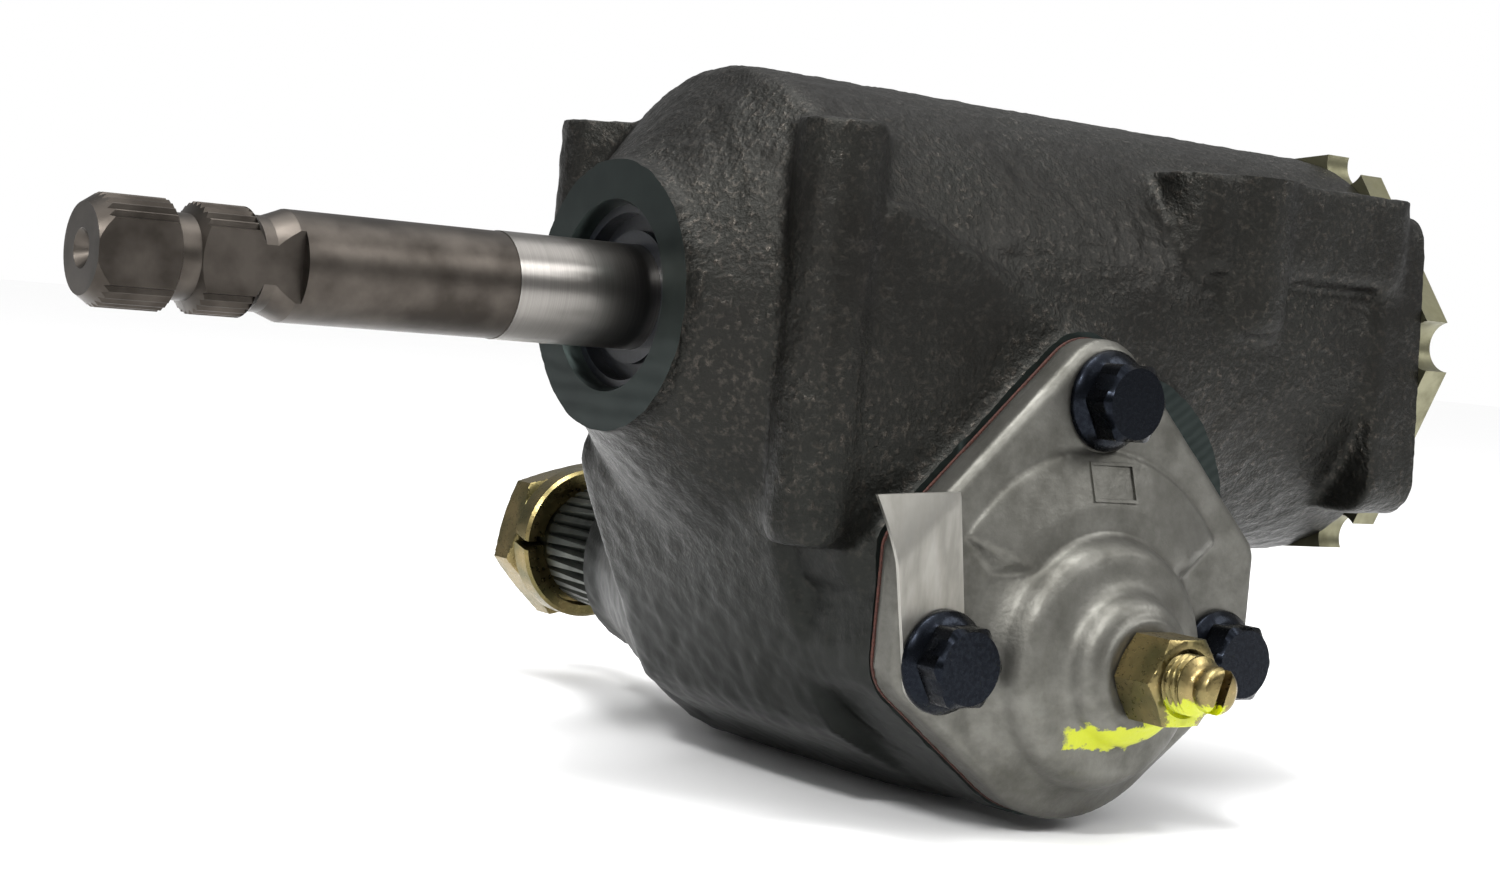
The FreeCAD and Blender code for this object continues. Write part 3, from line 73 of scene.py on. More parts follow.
# Places in millimetres, counted from the input boss's face on the worm shaft's axis, as in the part's source.
# On the sector shaft, "out" is the distance from the worm's plane towards the side cover.
BOSS_FACE = (-73.5, 0.0, -35.0)
SECTOR = (77.2, -60.6)
BARREL_END = 177.0
COVER_PAD = 48.0
COVER_BACK = 48.5
COVER_FACE = 55.5
ARM_END = 88.3
FRAME_HOLES = [(x, y) for x in (21.0, 126.0) for y in (-40.0, 40.0)]
COVER_BOLTS = [(0.0, 49.1), (-35.6, 0.0), (35.6, 0.0)]
COVER_WHEELS = [(0.0, 0.0, 31.0), (35.6, 0.0, 9.8), (40.0, 19.5, 5.3), (0.0, 49.1, 11.5), (-40.0, 19.5, 5.3),
                (-35.6, 0.0, 9.8)]
CHAMBER_WHEELS = [(-47.9, 27.4, 11.7), (-28.3, -7.8, 14.6), (0.0, 0.0, 33.6), (28.3, -7.8, 14.6),
                  (47.9, 27.4, 11.7)]
BUMP_CENTRE = (12.3, 25.7)
BUMP_RADIUS = 29.5
BOLT_SHANK = 4.76
BOLT_HOLE = 5.1
BOLT_SEAT = 10.0
BUSH_RADIUS = 17.4
SCREW_RADIUS = 5.55
THREAD_GAP = 0.05
TAG_THICKNESS = 0.8


def place(x, y, z):
    """Point of the row frame, in metres."""
    return Vector((x + BOSS_FACE[0], y + BOSS_FACE[1], z + BOSS_FACE[2])) * MM


def on_sector(x, out, up):
    """Point counted from the sector shaft's axis."""
    return place(SECTOR[0] + x, -out, SECTOR[1] + up)


# Meshes


def new_object(name, verts, faces):
    """Object with its doubled points joined and its faces turned outwards."""
    mesh = bpy.data.meshes.new(name)
    mesh.from_pydata([tuple(point) for point in verts], [], faces)
    mesh.validate()
    skin = bmesh.new()
    skin.from_mesh(mesh)
    bmesh.ops.remove_doubles(skin, verts=skin.verts, dist=1e-7)
    bmesh.ops.recalc_face_normals(skin, faces=skin.faces)
    skin.to_mesh(mesh)
    skin.free()
    thing = bpy.data.objects.new(name, mesh)
    bpy.context.scene.collection.objects.link(thing)
    return thing


def loft(rings, loop=False):
    """Vertices and faces of a skin over rings of equal counts, capped at both ends or closed like a tyre."""
    count = len(rings[0])
    verts = [point for ring in rings for point in ring]
    faces = []
    for row in range(len(rings) if loop else len(rings) - 1):
        above = (row + 1) % len(rings)
        for index in range(count):
            beside = (index + 1) % count
            faces.append((row * count + index, row * count + beside, above * count + beside, above * count + index))
    if not loop:
        faces.append(tuple(reversed(range(count))))
        faces.append(tuple((len(rings) - 1) * count + index for index in range(count)))
    return verts, faces


def merged(parts):
    """Vertices and faces of several skins as one list each."""
    verts, faces = [], []
    for more_verts, more_faces in parts:
        shift = len(verts)
        verts += more_verts
        faces += [tuple(index + shift for index in face) for face in more_faces]
    return verts, faces


def turns(count):
    """Equal steps round a full circle, in radians."""
    return [2 * math.pi * step / count for step in range(count)]


def worm_ring(along, radius, count=96):
    """Circle square to the worm shaft."""
    return [place(along, radius * math.cos(turn), radius * math.sin(turn)) for turn in turns(count)]


def sector_ring(out, radius, count=96, centre=(0.0, 0.0)):
    """Closed line square to the sector shaft; the radius may depend on the angle."""
    ring = []
    for turn in turns(count):
        reach = radius(turn) if callable(radius) else radius
        ring.append(on_sector(centre[0] + reach * math.cos(turn), out, centre[1] + reach * math.sin(turn)))
    return ring


def sector_lathe(profile, count=96, centre=(0.0, 0.0), loop=False):
    """Skin through pairs of out and radius."""
    return loft([sector_ring(out, radius, count, centre) for out, radius in profile], loop)


def post_ring(x, y, z, radius, count=48):
    """Circle square to the frame bolts."""
    return [place(x + radius * math.cos(turn), y + radius * math.sin(turn), z) for turn in turns(count)]


def belt(wheels, count=160, grow=0.0):
    """Outline of a belt run round wheels, as pairs."""
    points = []
    for turn in turns(count):
        across, up = math.cos(turn), math.sin(turn)
        x, y, radius = max(wheels, key=lambda wheel: wheel[0] * across + wheel[1] * up + wheel[2])
        points.append((x + (radius + grow) * across, y + (radius + grow) * up))
    return points


def sector_prism(wheels, levels):
    """Skin over a belt outline square to the sector shaft, through pairs of out and growth."""
    return loft([[on_sector(x, out, up) for x, up in belt(wheels, grow=grow)] for out, grow in levels])


def post_prism(wheels, levels):
    """Skin over a belt outline square to the frame bolts, through pairs of height and growth."""
    return loft([[place(x, y, height) for x, y in belt(wheels, 96, grow)] for height, grow in levels])


def apply_modifiers(thing):
    """Keeps what the modifiers make of a piece as its own mesh."""
    done = bpy.data.meshes.new_from_object(thing.evaluated_get(bpy.context.evaluated_depsgraph_get()))
    old = thing.data
    thing.modifiers.clear()
    thing.data = done
    bpy.data.meshes.remove(old)


def remeshed(name, parts, cell, passes):
    """Closed skin round overlapping closed forms, with its corners rounded, like the pattern of a casting."""
    thing = new_object(name, *merged(parts))
    modifier = thing.modifiers.new("skin", "REMESH")
    modifier.mode = "VOXEL"
    modifier.voxel_size = cell
    modifier.adaptivity = 0
    modifier = thing.modifiers.new("smooth", "SMOOTH")
    modifier.iterations = passes
    apply_modifiers(thing)
    return thing


def roughened(thing, depth, grain, seed):
    """Uneven skin, pushed inwards along the normals by up to depth."""
    mesh = thing.data
    count = len(mesh.vertices)
    spots = np.empty(count * 3)
    normals = np.empty(count * 3)
    mesh.vertices.foreach_get("co", spots)
    mesh.vertex_normals.foreach_get("vector", normals)
    spots = spots.reshape(-1, 3)
    normals = normals.reshape(-1, 3)
    offset = Vector((seed * 1.7, seed * 2.3, seed * 0.9))
    fall_off, lacunarity, octaves = 0.8, 2.1, 3
    shift = np.array([0.5 + 0.5 * noise.fractal(Vector(spot) / grain + offset, fall_off, lacunarity, octaves)
                      for spot in spots])
    spots -= normals * (np.clip(shift, 0.0, 1.0) * depth)[:, None]
    mesh.vertices.foreach_set("co", spots.ravel())
    mesh.update()


def join_or_cut(thing, verts_faces, slot=0, operation="DIFFERENCE"):
    """Machines a closed form out of a piece, or joins it; the new faces take the given material slot."""
    tool = new_object("tool", *verts_faces)
    for material in thing.data.materials:
        tool.data.materials.append(material)
    for face in tool.data.polygons:
        face.material_index = slot
    modifier = thing.modifiers.new("tool", "BOOLEAN")
    modifier.operation = operation
    modifier.solver = "MANIFOLD"
    modifier.object = tool
    apply_modifiers(thing)
    mesh = tool.data
    bpy.data.objects.remove(tool)
    bpy.data.meshes.remove(mesh)


def shade_by_angle(thing, degrees=35):
    """Smooth shading that stays crisp at machined edges."""
    mesh = thing.data
    mesh.shade_smooth()
    sharp = bmesh.new()
    sharp.from_mesh(mesh)
    limit = math.radians(degrees)
    for edge in sharp.edges:
        edge.smooth = edge.calc_face_angle(0.0) < limit
    sharp.to_mesh(mesh)
    sharp.free()


# Materials


def linear(hex_colour):
    """Linear colour of an sRGB hex value."""
    parts = [int(hex_colour[index:index + 2], 16) / 255 for index in (1, 3, 5)]
    return tuple(part / 12.92 if part <= 0.04045 else ((part + 0.055) / 1.055) ** 2.4 for part in parts) + (1.0,)


def add(material, kind, links=None, **settings):
    """Shader node with its settings; links maps its inputs to sockets or to plain values."""
    fresh = material.node_tree.nodes.new(kind)
    for key, setting in settings.items():
        setattr(fresh, key, setting)
    for key, source in (links or {}).items():
        socket = fresh.inputs[key]
        if isinstance(source, bpy.types.NodeSocket):
            material.node_tree.links.new(source, socket)
        else:
            socket.default_value = source
    return fresh


def start_material(name):
    """Empty material and its object coordinates in metres."""
    material = bpy.data.materials.new(name)
    material.use_nodes = True
    material.node_tree.nodes.clear()
    return material, add(material, "ShaderNodeTexCoord").outputs["Object"]


def end_material(material, **sockets):
    """Surface shader from sockets or plain values, named with underscores for blanks."""
    links = {key.replace("_", " "): source for key, source in sockets.items()}
    surface = add(material, "ShaderNodeBsdfPrincipled", links)
    add(material, "ShaderNodeOutputMaterial", {"Surface": surface.outputs[0]})
    return material


# Metals and plastics with one grain: size in mm, stretch along X, Y and Z, two colours, metallic share,
# two roughnesses and the depth of the grain in mm. The real grain of ground, moulded and pressed surfaces is too
# fine to show, so it is drawn at 0.5 to 0.9 mm.
EVEN = (1.0, 1.0, 1.0)
ONE_GRAIN = {
    "phosphated_steel": (0.9, EVEN, "#13151a", "#191c21", 1.0, 0.32, 0.24, 0.02),    # forged, black and oiled
    "ground_steel": (0.8, EVEN, "#8d8b88", "#b2b0ad", 1.0, 0.24, 0.18, 0.01),        # hardened and ground
    "stamped_steel": (5.0, EVEN, "#77756f", "#b5b2ab", 1.0, 0.45, 0.28, 0.05),       # pressed, clear zinc plate
    "rolled_aluminium": (3.0, (1.0, 1.0, 4.0), "#84827c", "#9a9892", 1.0, 0.46, 0.36, 0.02),  # soft rolled strip
    "sintered_bronze": (0.6, EVEN, "#7c5a33", "#a98050", 1.0, 0.42, 0.34, 0.03),     # sintered and bored
    "moulded_rubber": (0.7, EVEN, "#05070b", "#0b0f17", 0.0, 0.38, 0.30, 0.03),      # nitrile moulded on a steel case
    "gasket_fibre": (0.5, EVEN, "#2a1511", "#4c271d", 0.0, 0.85, 0.75, 0.05),        # pressed fibre soaked with oil
    "olive_zinc_plate": (4.0, EVEN, "#66644f", "#7b7963", 1.0, 0.48, 0.34, 0.06),    # turned nut, dull olive plate
    "oiled_steel": (6.0, EVEN, "#2b2e2b", "#444742", 1.0, 0.42, 0.3, 0.03),           # forged, machined and oiled
    "worn_iron": (4.0, EVEN, "#1d1d1c", "#34332f", 0.9, 0.5, 0.4, 0.08),             # turned iron, oiled
}


def one_grain(name):
    """Material of the table above."""
    size, stretch, dark, light, metal, rough, smooth, depth = ONE_GRAIN[name]
    material, where = start_material(name)
    stretched = add(material, "ShaderNodeMapping", {"Vector": where, "Scale": tuple(1 / part for part in stretch)})
    grain = add(material, "ShaderNodeTexNoise", {"Vector": stretched.outputs[0], "Scale": 1 / (size * MM),
                                                 "Detail": 4.0}).outputs["Fac"]
    share = add(material, "ShaderNodeMapRange", {0: grain, 1: 0.35, 2: 0.65}).outputs[0]
    colour = add(material, "ShaderNodeMix", {0: share, 6: linear(dark), 7: linear(light)}, data_type="RGBA")
    polish = add(material, "ShaderNodeMapRange", {0: grain, 1: 0.35, 2: 0.65, 3: rough, 4: smooth})
    normal = add(material, "ShaderNodeBump", {"Height": grain, "Distance": depth * MM})
    return end_material(material, Base_Color=colour.outputs[2], Metallic=metal, Roughness=polish.outputs[0],
                        Normal=normal.outputs[0])


def sand_cast_iron():
    """Grey iron cast in green sand, left dark: near black; the skin's smoother peaks glint and carry a painted glint.

    Moulding sand is finer than 1.25 mm, but its grain is drawn at that size so that it shows. The grain and the
    4.5 mm lumps fade out towards the smoother bottom of the sector chamber.
    """
    material, where = start_material("sand_cast_iron")
    chamber_low, chamber_high = -98 * MM, -52 * MM
    lumps = add(material, "ShaderNodeTexNoise", {"Vector": where, "Scale": 1 / (4.5 * MM), "Detail": 3.0}).outputs[0]
    sand = add(material, "ShaderNodeTexNoise", {"Vector": where, "Scale": 1 / (1.25 * MM), "Detail": 4.0,
                                                "Roughness": 0.6}).outputs[0]
    areas = add(material, "ShaderNodeTexNoise", {"Vector": where, "Scale": 1 / (30 * MM), "Detail": 3.0}).outputs[0]
    height = add(material, "ShaderNodeSeparateXYZ", {0: where}).outputs[2]
    upper = add(material, "ShaderNodeMapRange", {0: height, 1: chamber_low, 2: chamber_high}).outputs[0]
    patch = add(material, "ShaderNodeMapRange", {0: areas, 1: 0.35, 2: 0.62, 3: 0.35, 4: 1.0}).outputs[0]
    rough = add(material, "ShaderNodeMapRange", {0: upper, 3: 0.05, 4: patch}).outputs[0]
    peaks_and_painted_glint = add(material, "ShaderNodeMapRange", {0: sand, 1: 0.52, 2: 0.7, 4: rough}).outputs[0]
    dark = add(material, "ShaderNodeMix", {0: upper, 6: linear("#0e1212"), 7: linear("#181614")}, data_type="RGBA")
    tint = add(material, "ShaderNodeMix", {0: areas, 6: dark.outputs[2], 7: linear("#222320")}, data_type="RGBA")
    # The sand's peaks are painted a lighter colour as a painted glint; their lower roughness below gives real glints.
    colour = add(material, "ShaderNodeMix", {0: peaks_and_painted_glint, 6: tint.outputs[2], 7: linear("#3c3833")}, data_type="RGBA")
    polish = add(material, "ShaderNodeMapRange", {0: peaks_and_painted_glint, 3: 0.44, 4: 0.17})
    calm = add(material, "ShaderNodeMapRange", {0: upper, 3: 0.12, 4: 1.0}).outputs[0]
    coarse = add(material, "ShaderNodeBump", {"Height": lumps, "Distance": 0.5 * MM, "Strength": calm})
    fine = add(material, "ShaderNodeBump", {"Height": sand, "Distance": 0.65 * MM, "Strength": rough,
                                            "Normal": coarse.outputs[0]})
    return end_material(material, Base_Color=colour.outputs[2], Metallic=0.85, Roughness=polish.outputs[0],
                        Normal=fine.outputs[0])


def milled_iron():
    """Cast iron faced with a cutter: dark blue-green grey, with fine arcs left by the tool."""
    material, where = start_material("milled_iron")
    arcs = add(material, "ShaderNodeTexWave", {"Vector": where, "Scale": 1 / (7 * MM), "Distortion": 1.5},
               wave_type="RINGS", rings_direction="Y").outputs["Fac"]
    spots = add(material, "ShaderNodeTexNoise", {"Vector": where, "Scale": 1 / (6 * MM), "Detail": 4.0}).outputs[0]
    colour = add(material, "ShaderNodeMix", {0: spots, 6: linear("#1a2120"), 7: linear("#2c3331")}, data_type="RGBA")
    normal = add(material, "ShaderNodeBump", {"Height": arcs, "Distance": 0.03 * MM})
    return end_material(material, Base_Color=colour.outputs[2], Metallic=0.9, Roughness=0.4, Normal=normal.outputs[0])


# Marking paint in the row frame, mm: lower left and upper right corner of each box, as X and Z
COVER_PAINT = (((-8.0, -110.6), (6.5, -105.8)), ((4.0, -108.8), (11.5, -103.2)))
NUT_PAINT = (((0.2, -107.5), (8.0, -100.4)), ((-0.8, -102.0), (5.0, -98.0)))


def paint_streak(material, where, colour, boxes):
    """Colour under brushed marking paint inside boxes, and the share that stays bare metal."""
    ragged = (9 * MM, 0.0, 6 * MM)
    wobble = add(material, "ShaderNodeTexNoise", {"Vector": where, "Scale": 1 / (3.5 * MM), "Detail": 4.0,
                                                  "Roughness": 0.7}).outputs["Color"]
    centred = add(material, "ShaderNodeVectorMath", {0: wobble, 1: (0.5, 0.5, 0.5)}, operation="SUBTRACT")
    moved = add(material, "ShaderNodeVectorMath", {0: centred.outputs[0], 1: ragged, 2: where},
                operation="MULTIPLY_ADD").outputs[0]
    outside = 10.0
    for (left, low), (right, high) in boxes:
        middle = ((left + right) / 2 * MM, 0.0, (low + high) / 2 * MM)
        share = (2 / ((right - left) * MM), 0.0, 2 / ((high - low) * MM))
        shifted = add(material, "ShaderNodeVectorMath", {0: moved, 1: middle}, operation="SUBTRACT")
        scaled = add(material, "ShaderNodeVectorMath", {0: shifted.outputs[0], 1: share}, operation="MULTIPLY")
        flat = add(material, "ShaderNodeVectorMath", {0: scaled.outputs[0]}, operation="ABSOLUTE")
        parts = add(material, "ShaderNodeSeparateXYZ", {0: flat.outputs[0]})
        reach = add(material, "ShaderNodeMath", {0: parts.outputs[0], 1: parts.outputs[2]}, operation="MAXIMUM")
        outside = add(material, "ShaderNodeMath", {0: outside, 1: reach.outputs[0]}, operation="MINIMUM").outputs[0]
    bare = add(material, "ShaderNodeMapRange", {0: outside, 1: 0.85, 2: 1.05}).outputs[0]
    painted = add(material, "ShaderNodeMix", {0: bare, 6: linear("#a9b002"), 7: colour}, data_type="RGBA")
    return painted.outputs[2], bare


def die_cast_aluminium():
    """Aluminium die casting, bare: satin grey with soft stains, a fine skin and a streak of marking paint."""
    material, where = start_material("die_cast_aluminium")
    stains = add(material, "ShaderNodeTexNoise", {"Vector": where, "Scale": 1 / (9 * MM), "Detail": 7.0,
                                                  "Roughness": 0.62}).outputs[0]
    skin = add(material, "ShaderNodeTexNoise", {"Vector": where, "Scale": 1 / (0.9 * MM), "Detail": 5.0}).outputs[0]
    share = add(material, "ShaderNodeMapRange", {0: stains, 1: 0.36, 2: 0.64}).outputs[0]
    colour = add(material, "ShaderNodeMix", {0: share, 6: linear("#504f4a"), 7: linear("#696863")}, data_type="RGBA")
    painted, bare = paint_streak(material, where, colour.outputs[2], COVER_PAINT)
    metal = add(material, "ShaderNodeMath", {0: bare, 1: 0.95}, operation="MULTIPLY")
    polish = add(material, "ShaderNodeMapRange", {0: stains, 1: 0.35, 2: 0.65, 3: 0.55, 4: 0.46})
    normal = add(material, "ShaderNodeBump", {"Height": skin, "Distance": 0.07 * MM})
    return end_material(material, Base_Color=painted, Metallic=metal.outputs[0], Roughness=polish.outputs[0],
                        Normal=normal.outputs[0])


def yellow_zinc():
    """Steel zinc plated and yellow chromated: straw metal with green drifts and a streak of marking paint."""
    material, where = start_material("yellow_zinc_plate")
    drift = add(material, "ShaderNodeTexNoise", {"Vector": where, "Scale": 1 / (7 * MM), "Detail": 3.0}).outputs[0]
    fine = add(material, "ShaderNodeTexNoise", {"Vector": where, "Scale": 1 / (0.8 * MM), "Detail": 3.0}).outputs[0]
    share = add(material, "ShaderNodeMapRange", {0: drift, 1: 0.35, 2: 0.65}).outputs[0]
    colour = add(material, "ShaderNodeMix", {0: share, 6: linear("#605b3c"), 7: linear("#84754f")}, data_type="RGBA")
    painted, bare = paint_streak(material, where, colour.outputs[2], NUT_PAINT)
    polish = add(material, "ShaderNodeMapRange", {0: fine, 1: 0.35, 2: 0.65, 3: 0.38, 4: 0.26})
    normal = add(material, "ShaderNodeBump", {"Height": fine, "Distance": 0.03 * MM})
    return end_material(material, Base_Color=painted, Metallic=bare, Roughness=polish.outputs[0],
                        Normal=normal.outputs[0])


def turned_steel():
    """Medium-carbon steel, turned and stained brownish grey, with a length ground bright for the seal."""
    material, where = start_material("turned_steel")
    ground_middle, ground_half = (BOSS_FACE[0] + 0.1) * MM, 25 * MM
    stretched = add(material, "ShaderNodeMapping", {"Vector": where, "Scale": (4.0, 0.025, 0.025)})
    rings = add(material, "ShaderNodeTexNoise", {"Vector": stretched.outputs[0], "Scale": 1 / (1.0 * MM),
                                                 "Detail": 3.0}).outputs[0]
    stain = add(material, "ShaderNodeTexNoise", {"Vector": where, "Scale": 1 / (9 * MM), "Detail": 4.0}).outputs[0]
    share = add(material, "ShaderNodeMapRange", {0: stain, 1: 0.35, 2: 0.65}).outputs[0]
    dark = add(material, "ShaderNodeMix", {0: share, 6: linear("#35312d"), 7: linear("#4e4944")}, data_type="RGBA")
    bright = add(material, "ShaderNodeMix", {0: rings, 6: linear("#6f6c68"), 7: linear("#8e8b87")}, data_type="RGBA")
    parts = add(material, "ShaderNodeSeparateXYZ", {0: where})
    ground = add(material, "ShaderNodeMath", {0: parts.outputs[0], 1: ground_middle, 2: ground_half},
                 operation="COMPARE").outputs[0]
    colour = add(material, "ShaderNodeMix", {0: ground, 6: dark.outputs[2], 7: bright.outputs[2]}, data_type="RGBA")
    polish = add(material, "ShaderNodeMapRange", {0: ground, 3: 0.4, 4: 0.29})
    normal = add(material, "ShaderNodeBump", {"Height": rings, "Distance": 0.012 * MM})
    return end_material(material, Base_Color=colour.outputs[2], Metallic=1.0, Roughness=polish.outputs[0],
                        Normal=normal.outputs[0])


SPECIAL = {maker.__name__: maker for maker in (sand_cast_iron, milled_iron, die_cast_aluminium, yellow_zinc,
                                               turned_steel)}
MATERIALS = {}


def paint(thing, *names):
    """Gives a piece its materials; each is made once and shared."""
    thing.data.materials.clear()
    for name in names:
        if name not in MATERIALS:
            MATERIALS[name] = SPECIAL[name]() if name in SPECIAL else one_grain(name)
        thing.data.materials.append(MATERIALS[name])


# Settings


class CastingSettings(bpy.types.PropertyGroup):
    skin: FloatProperty(name="Skin size", description="Size of the casting's surface cells", default=1.0 * MM,
                        min=0.5 * MM, max=4 * MM, unit="LENGTH")
    fillet_passes: IntProperty(name="Fillet passes", description="How far the corners are rounded",
                               default=12, min=0, max=60)
    sand_depth: FloatProperty(name="Sand depth", description="Depth of the uneven skin", default=0.5 * MM,
                              min=0, max=2 * MM, unit="LENGTH")
    sand_grain: FloatProperty(name="Sand grain", description="Size of the uneven spots", default=4 * MM,
                              min=1 * MM, max=20 * MM, unit="LENGTH")


class CoverSettings(bpy.types.PropertyGroup):
    skin: FloatProperty(name="Skin size", description="Size of the cover's surface cells", default=0.6 * MM,
                        min=0.3 * MM, max=3 * MM, unit="LENGTH")
    fillet_passes: IntProperty(name="Fillet passes", description="How far the cover's corners are rounded",
                               default=2, min=0, max=40)
    tag_curl: FloatProperty(name="Tag curl", description="How far the tag's free end bends back", default=4.8 * MM,
                            min=0, max=8 * MM, unit="LENGTH")


class ThreadSettings(bpy.types.PropertyGroup):
    pitch: FloatProperty(name="Lash screw pitch", description="Distance between threads", default=1.41 * MM,
                         min=0.5 * MM, max=4 * MM, unit="LENGTH")
    depth: FloatProperty(name="Thread depth", description="Depth of the threads", default=0.8 * MM,
                         min=0.1 * MM, max=2 * MM, unit="LENGTH")


class StageSettings(bpy.types.PropertyGroup):
    lens: FloatProperty(name="Lens", description="Focal length on a 36 mm frame", default=61.65, min=20, max=200)
    floor: FloatVectorProperty(name="Floor colour", description="Colour of the floor", subtype="COLOR",
                               default=(0.9, 0.9, 0.9), min=0, max=1)


class GearboxSettings(bpy.types.PropertyGroup):
    casting: PointerProperty(type=CastingSettings)
    cover: PointerProperty(type=CoverSettings)
    thread: PointerProperty(type=ThreadSettings)
    stage: PointerProperty(type=StageSettings)


def settings():
    """Sizes and colours that the panel shows."""
    return bpy.context.scene.gearbox


# Pieces


# Raw barrel from its flared front to its rear rim: place along the worm shaft and radius
BARREL = ((-3.5, 25.7), (2.5, 25.9), (8.0, 31.0), (15.0, 38.2), (20.5, 43.8), (22.4, 45.8), (24.0, 46.4), (60.0, 46.0),
          (116.0, 45.3), (160.0, 44.9), (181.0, 44.7))
# Bore of the barrel from the seal's mouth to the plug's thread, in the same way
WORM_BORE = ((-8.0, 19.3), (0.0, 18.1), (1.2, 17.4), (11.0, 17.4), (11.0, 12.0), (14.0, 12.0), (14.0, 21.5),
             (24.5, 21.5), (24.5, 30.5), (146.8, 30.5), (146.8, 34.05), (179.0, 34.05))
# Boss of the steering-arm end and the bore through it: out and radius
ARM_BOSS = ((0.0, 33.6), (-46.3, 33.6), (-51.6, 32.4), (-66.8, 26.8), (-81.9, 21.4), (-92.0, 21.1))
ARM_BORE = ((0.0, BUSH_RADIUS), (-83.3, BUSH_RADIUS), (-83.3, 19.2), (-ARM_END, 19.2), (-90.0, 20.9))
# Thick near side between the front column and the cover: X, Z and radius of its corners
FLANK = ((27.5, -32.5, 8.5), (40.0, -36.0, 5.0), (77.2, -11.5, 12.7), (31.0, 13.0, 8.5))
# Rounded square rim at the barrel's rear end: Y, Z and radius of its corners
REAR_RIM = ((-39.5, -24.5, 8.0), (0.0, -24.5, 8.0), (0.0, 25.0, 7.5), (-37.0, 25.0, 7.5))


def casting_forms():
    """Closed forms of the raw casting; they stand a few millimetres proud of what is machined later."""
    forms = [loft([worm_ring(x, radius, 128) for x, radius in BARREL])]
    forms.append(sector_prism(CHAMBER_WHEELS, ((29.0, -1.0), (9.0, 0.0), (-20.0, 0.0), (-33.5, -0.4), (-35.5, -1.8))))
    forms.append(sector_prism(COVER_WHEELS, ((51.0, 0.7), (21.6, 1.2))))
    forms.append(sector_lathe(((51.0, BUMP_RADIUS), (21.6, BUMP_RADIUS)), centre=BUMP_CENTRE))
    upper_left = [(-40.0, 19.5, 5.3), (0.0, 0.0, 20.0), (0.0, 49.1, 11.5)]
    forms.append(sector_prism(upper_left, ((47.5, 1.6), (43.5, 5.5), (30.0, 6.5))))
    forms.append(sector_lathe(ARM_BOSS, 128))
    forms.append(loft([[place(x, y, z) for x, z in belt(FLANK, grow=grow)] for y, grow in (
        (-15.0, 0.0), (-45.9, 0.0), (-46.9, -0.8))]))
    # Front column with its web, rear column and rear lug, on the near and on the far side
    for side in (-1, 1):
        low = -42.0 if side < 0 else 7.0
        forms.append(post_prism([(21.0, side * 40.0, 8.5), (31.0, side * 28.0, 8.5)],
                                ((35.2, 0.0), (low + 3.0, 0.0), (low, -1.5))))
        forms.append(post_prism([(126.0, side * 40.0, 10.0)], ((38.5, 0.0), (6.0, 0.0), (3.0, -2.0))))
        forms.append(post_prism([(114.5, side * 38.3, 8.5), (165.5, side * 38.3, 8.5), (165.5, side * 25.0, 5.0),
                                 (114.5, side * 25.0, 5.0)], ((35.0, 0.0), (18.0, 0.0), (15.0, -1.0))))
    forms.append(loft([[place(x, y, z) for y, z in belt(REAR_RIM, 128)] for x in (163.0, 181.0)]))
    return forms


def casting_cuts():
    """Closed cutters of the machined faces and bores."""
    cutter_depth = 8
    cuts = [loft([worm_ring(x, 60.0, 24) for x in (-6.0, 0.0)]),
            loft([worm_ring(x, 80.0, 24) for x in (BARREL_END, BARREL_END + cutter_depth)]),
            sector_lathe(((COVER_PAD, 40.0), (COVER_PAD + cutter_depth, 40.0)), 64, BUMP_CENTRE),
            sector_prism(COVER_WHEELS, ((COVER_PAD, 6.0), (COVER_PAD + cutter_depth, 6.0))),
            sector_lathe(((-ARM_END, 40.0), (-ARM_END - cutter_depth, 40.0)), 24)]
    for x, y in FRAME_HOLES:
        spot_face = 13.0 if x > 100 else 7.6
        cuts.append(loft([post_ring(x, y, z, spot_face) for z in (35.0, 44.0)]))
        cuts.append(loft([post_ring(x, y, z, radius, 32) for z, radius in ((18.0, 4.65), (34.2, 4.65), (36.0, 6.4))]))
    cuts.append(loft([worm_ring(x, radius, 96) for x, radius in WORM_BORE]))
    # Room for the nut's rack, for the swinging teeth, and for putting the sector in from the cover's side
    rack_room = [(25.0, -19.5), (129.4, -19.5), (129.4, 19.5), (25.0, 19.5)]
    cuts.append(loft([[place(x, y, z) for x, y in rack_room] for z in (-38.7, 0.0)]))
    cuts.append(sector_prism([(-12.5, 10.0, 25.5), (0.0, 0.0, 26.5), (12.5, 10.0, 25.5)], ((19.5, 0), (-19.5, 0))))
    cuts.append(sector_prism([(0.0, 0.0, 26.5), (0.0, 10.0, 30.2)], ((50.0, 0.0), (0.0, 0.0))))
    cuts.append(sector_lathe(ARM_BORE))
    for centre in COVER_BOLTS:
        cuts.append(sector_lathe(((49.0, BOLT_SHANK + THREAD_GAP), (39.2, BOLT_SHANK + THREAD_GAP)), 32, centre))
    return cuts


class GEARBOX_OT_casting(bpy.types.Operator):
    """Cast the housing, round its corners, give it sand texture and machine its faces"""
    bl_idname = "gearbox.casting"
    bl_label = "Housing casting"

    def execute(self, context):
        s = settings().casting
        body = remeshed("cast_housing", casting_forms(), s.skin, s.fillet_passes)
        roughened(body, s.sand_depth, s.sand_grain, 3)
        paint(body, "sand_cast_iron", "milled_iron")
        for form in casting_cuts():
            join_or_cut(body, form, 1)
        shade_by_angle(body, 40)
        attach(body, "housing")
        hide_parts("gear_housing")
        return {"FINISHED"}


# Raised fan on the cover: radius, its own level, and the angles from the top where its end starts and stops to slope
FAN = ((39.1, 56.5, 55.0, 55.5), (34.0, 58.2, 52.0, 57.0), (29.3, 59.7, 49.0, 58.5), (24.2, 60.0, 45.0, 60.0),
       (20.0, 60.0, 42.0, 60.0))
